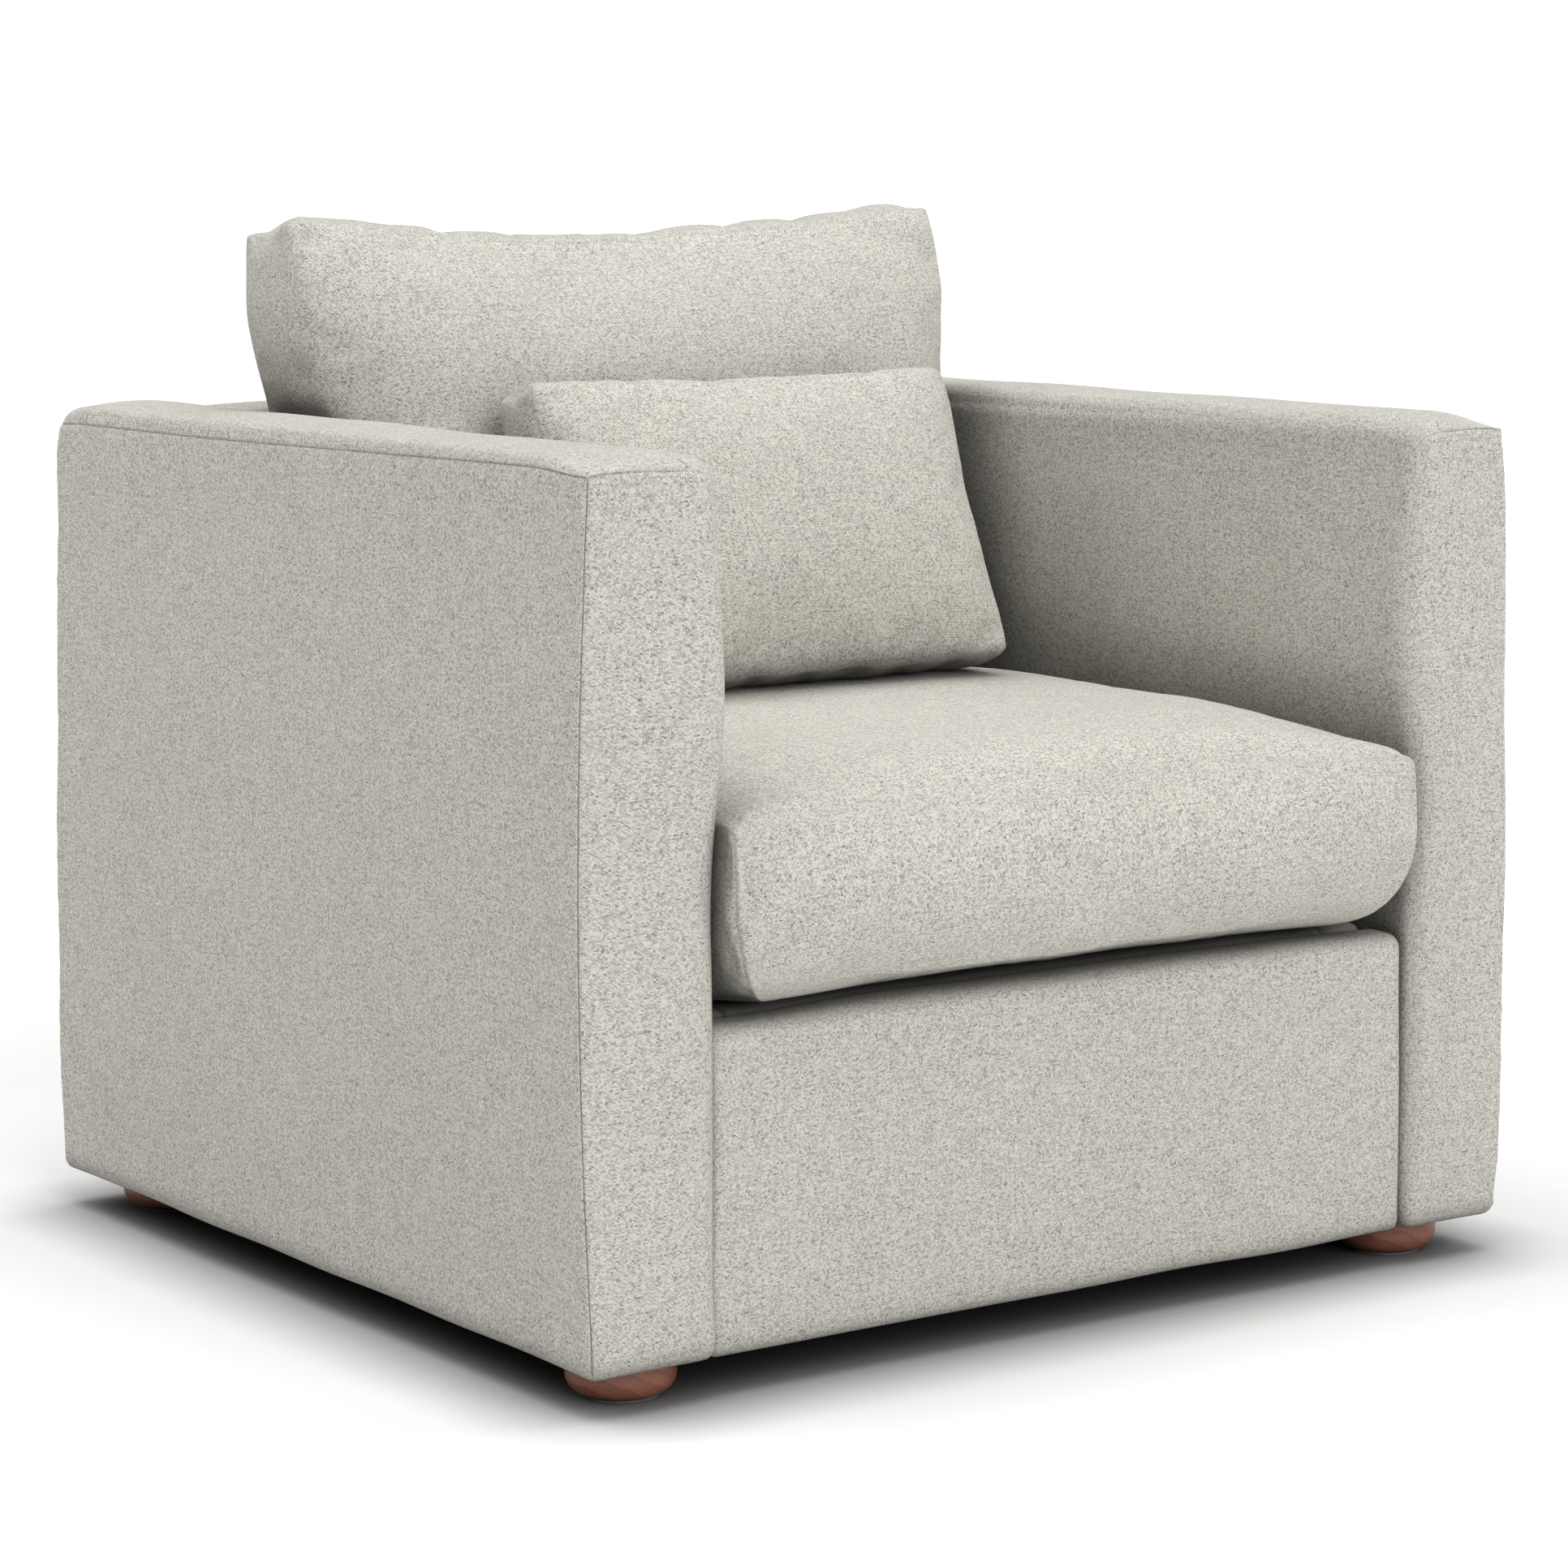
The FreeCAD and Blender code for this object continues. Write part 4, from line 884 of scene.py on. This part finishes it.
def back_cushion():
    low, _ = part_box("back_cushion_cover")
    height, depth, half = 0.405, 0.12, 0.35
    box = Box(
        spaced(-half, half, 11 * MM, [-half, half], 3 * MM),
        spaced(0, depth, 9 * MM, [0, depth], 3 * MM),
        spaced(0, height, 10 * MM, [height], 3 * MM),
    )
    flat_points = box.rest.copy()
    corner = blend(26 * MM, 9 * MM, smooth(box.rest[:, 2], 0.1, height - 0.1))
    squashed, _ = rounded(box.rest[:, [0, 2]], box.low[[0, 2]], box.high[[0, 2]], corner)
    flat_points[:, 0], flat_points[:, 2] = squashed.T
    x, t, v = flat_points[:, 0] / half, flat_points[:, 1] / depth, flat_points[:, 2] / height
    width = blend(0.328, 0.349, smooth(v, 0.5, 0.86))
    width = width + 3 * MM * (1 - smooth(v, 0.1, 0.5)) - 6 * MM * smooth(x, 0.5, 1.0) * arch(v, 0.3, 1.0)
    front_low, front_high = np.array([0.122, 0.499]), np.array([0.250, 0.899])
    rear_low, rear_high = np.array([0.306, 0.488]), np.array([0.326, 0.886])
    ahead = front_low + v[:, None] * (front_high - front_low)
    behind = rear_low + v[:, None] * (rear_high - rear_low)
    middle = ahead + t[:, None] * (behind - ahead)
    u4 = np.clip(1 - np.abs(x) ** 4.5, 0, 1)
    v4 = np.clip(1 - np.abs(2 * v - 1) ** 4, 0, 1)
    dome = np.sqrt(u4 * v4)
    front_bulge = 44 * MM * dome * (1 - t) ** 2 * (0.9 + 0.2 * (1 - v))
    rear_bulge = 34 * MM * dome * t**2
    out = np.array([-0.951, 0.309])
    middle = middle + front_bulge[:, None] * out
    middle[:, 0] += rear_bulge
    in_gusset = arch(t, 0, 1)
    sag = np.interp(x, [-1, -0.75, -0.32, 0.1, 0.6, 0.85, 1], [0.0, 8.0, 22.0, 20.0, 10.0, 3.0, 0.0]) * MM
    top_share = smooth(v, 0.55, 1.0)
    points = np.column_stack([x * width, middle])
    points[:, 2] += (5 * MM * smooth(x, 0.75, 1.0) - sag) * top_share
    lobe = smooth(np.abs(x), 0.9, 1.0)
    points[:, 2] += top_share * in_gusset * blend(9 * MM, -7 * MM, lobe) * smooth(v, 0.9, 1)
    side_puff = blend(np.where(x > 0, -3, 5) * MM, -7 * MM, smooth(v, 0.82, 1))
    points[:, 0] += np.sign(x) * in_gusset * smooth(np.abs(x), 0.9, 1) * side_puff
    crease = np.exp(-(((points[:, 0] + 0.098) / (7 * MM)) ** 2))
    points[:, 2] -= 4 * MM * crease * smooth(v, 0.93, 1.0) * (1 - smooth(t, 0.0, 0.75))
    piece = make("back_cushion_cloth", points, box.faces, box.uv)

    rest_x, rest_t, rest_v = box.rest.T
    edge_x = half - np.abs(rest_x)
    edge_v = np.minimum(rest_v, height - rest_v)
    to_front = np.where(rest_t < 1e-6, np.minimum(edge_x, edge_v), rest_t)
    to_rear = np.where(rest_t > depth - 1e-6, np.minimum(edge_x, edge_v), depth - rest_t)
    distance = np.minimum(to_front, to_rear)
    hold = np.where(distance < 1e-6, 0.9, 0.0)
    points = inflate(piece, hold, 24 * MM, 3.2, 0.02)
    points = softened(piece, points, distance, 9 * MM, 7)
    plane = back_plane(points[:, 2]) - 1.5 * MM
    rested = press(points[:, 1], plane, 9 * MM)
    points[:, 1] = np.where(points[:, 2] < BACK_TOP - 4 * MM, rested, points[:, 1])
    points[:, 2] = -press(-points[:, 2], -(low.z + 0.3 * MM), 5 * MM)
    wall = arm_wall(points) - 2 * MM
    held_x = np.sign(points[:, 0]) * press(np.abs(points[:, 0]), wall, 6 * MM)
    points[:, 0] = np.where(points[:, 2] < STRAIGHT_BELOW, held_x, points[:, 0])
    seam_relief(piece, points, distance, 0.4 * MM, 2.2 * MM, 0.2, 201, 0.3 * MM)
    subdivided(piece)
    replaced = ["back_cushion_cover", "back_cushion_fill"]
    finish_piece(piece, "back_cushion", CLOTH, replaced)


def lumbar_pillow():
    height, depth, half = 0.265, 0.056, 0.226
    box = Box(
        spaced(-half, half, 8 * MM, [-half, half], 2.6 * MM),
        spaced(0, depth, 7 * MM, [0, depth], 2.6 * MM),
        spaced(0, height, 8 * MM, [0, height], 2.6 * MM),
    )
    flat_points = box.rest.copy()
    squashed, _ = rounded(box.rest[:, [0, 2]], box.low[[0, 2]], box.high[[0, 2]], 15 * MM)
    flat_points[:, 0], flat_points[:, 2] = squashed.T
    x, t, v = flat_points[:, 0] / half, flat_points[:, 1] / depth, flat_points[:, 2] / height
    front_low, front_high = np.array([-0.040, 0.507]), np.array([0.053, 0.762])
    rear_low, rear_high = np.array([0.012, 0.489]), np.array([0.105, 0.748])
    ahead = front_low + v[:, None] * (front_high - front_low)
    behind = rear_low + v[:, None] * (rear_high - rear_low)
    middle = ahead + t[:, None] * (behind - ahead)
    u4 = np.clip(1 - np.abs(x) ** 3.2, 0, 1)
    v4 = np.clip(1 - np.abs(2 * v - 1) ** 2.3, 0, 1)
    dome = np.sqrt(u4 * v4)
    out = np.array([-0.938, 0.346])
    middle = middle + (31 * MM * dome * ((1 - t) ** 2 - 0.8 * t**2))[:, None] * out
    in_gusset = arch(t, 0, 1)
    width = half - 5 * MM * arch(v, 0, 1)
    points = np.column_stack([x * width - 9 * MM * v * smooth(x, 0.2, 1.0), middle])
    points[:, 2] -= 5 * MM * (1 - x**2) * smooth(v, 0.5, 1)
    points[:, 2] += 5 * MM * in_gusset * smooth(v, 0.93, 1) * u4
    side_puff = blend(-4 * MM, 5 * MM, arch(v, 0, 1, 0.6))
    points[:, 0] += np.sign(x) * in_gusset * smooth(np.abs(x), 0.93, 1) * side_puff
    piece = make("lumbar_pillow_cloth", points, box.faces, box.uv)

    rest_x, rest_t, rest_v = box.rest.T
    edge = np.minimum(half - np.abs(rest_x), np.minimum(rest_v, height - rest_v))
    to_front = np.where(rest_t < 1e-6, edge, rest_t)
    to_rear = np.where(rest_t > depth - 1e-6, edge, depth - rest_t)
    distance = np.minimum(to_front, to_rear)
    hold = np.where(distance < 1e-6, 0.9, 0.0)
    points = inflate(piece, hold, 13 * MM, 3.2, 0.02)
    points = softened(piece, points, distance, 8 * MM, 5)
    points[:, 2] = -press(-points[:, 2], -PILLOW_FLOOR, 5 * MM)
    seam_relief(piece, points, distance, 0.4 * MM, 2.0 * MM, 0.2, 301, 0.35 * MM)
    subdivided(piece)
    replaced = ["lumbar_pillow_cover", "lumbar_pillow_fill"]
    finish_piece(piece, "lumbar_pillow", CLOTH, replaced)


seat_cushion()
back_cushion()
lumbar_pillow()


# ---------------------------------------------------------------- floor, light and camera

def floor():
    g = Graph("pale_floor")
    grain = g.noise(g.place("Object"), 9.0, 2.0)
    pale = g.mix(g.remap(grain, 0.3, 0.7, 0.0, 1.0), flat((0.805, 0.805, 0.805)), flat((0.795, 0.795, 0.795)))
    # Painted contact shadow: the floor darkens to near black where the chair closes it in.
    g.set(Base_Color=g.mix(g.openness(0.10, 1.3), flat((0.07, 0.07, 0.07)), pale), Roughness=0.95)
    g.shader.inputs["Specular IOR Level"].default_value = 0.0
    mesh = bpy.data.meshes.new("floor")
    reach = 30.0
    corners = [(-reach, -reach, 0), (reach, -reach, 0), (reach, reach, 0), (-reach, reach, 0)]
    mesh.from_pydata(corners, [], [(0, 1, 2, 3)])
    mesh.materials.append(g.material)
    ground = bpy.data.objects.new("floor", mesh)
    scene.collection.objects.link(ground)


DOME = 0.05
LAMPS = (
    ("overhead_light", (0.0, 0.035, -0.999), 50, 1.80),
    ("front_light", (0.0, 0.866, -0.50), 50, 1.92),
    ("right_light", (-0.707, 0.0, -0.707), 50, 0.73),
    ("left_light", (0.80, 0.0, -0.60), 50, 0.16),
    ("rear_left_light", (0.454, -0.454, -0.766), 50, 1.24),
)


def lights():
    world = bpy.data.worlds.new("studio")
    scene.world = world
    world.use_nodes = True
    tree = world.node_tree
    tree.nodes.clear()

    def node(kind):
        return tree.nodes.new(kind)

    def background(strength):
        made = node("ShaderNodeBackground")
        made.inputs[0].default_value = (1, 1, 1, 1)
        made.inputs[1].default_value = strength
        return made

    def joined(share, first, second):
        made = node("ShaderNodeMixShader")
        tree.links.new(share, made.inputs[0])
        tree.links.new(first.outputs[0], made.inputs[1])
        tree.links.new(second.outputs[0], made.inputs[2])
        return made

    seen = joined(node("ShaderNodeLightPath").outputs["Is Camera Ray"], background(DOME), background(1.2))
    tree.links.new(seen.outputs[0], node("ShaderNodeOutputWorld").inputs[0])

    for name, towards, softness, strength in LAMPS:
        lamp = bpy.data.lights.new(name, "SUN")
        lamp.energy = strength
        lamp.angle = math.radians(softness)
        item = bpy.data.objects.new(name, lamp)
        scene.collection.objects.link(item)
        way = Vector(towards).normalized()
        item.rotation_mode = "QUATERNION"
        item.rotation_quaternion = way.to_track_quat("-Z", "Y")
        item.location = way * -4


def camera():
    data = bpy.data.cameras.new("camera")
    data.sensor_width = 36
    data.lens = 101.5
    data.clip_end = 100
    eye = bpy.data.objects.new("camera", data)
    scene.collection.objects.link(eye)
    yaw, pitch, roll = (math.radians(angle) for angle in (34.79, 8.2, -0.14))
    ahead = Vector((math.sin(yaw) * math.cos(pitch), math.cos(yaw) * math.cos(pitch), -math.sin(pitch)))
    turn = ahead.to_track_quat("-Z", "Y").to_matrix() @ Matrix.Rotation(roll, 3, "Z")
    eye.matrix_world = Matrix.Translation((-2.198, -3.170, 0.959)) @ turn.to_4x4()
    scene.camera = eye


floor()
lights()
camera()
scene.view_settings.view_transform = "Standard"
scene.view_settings.look = "None"
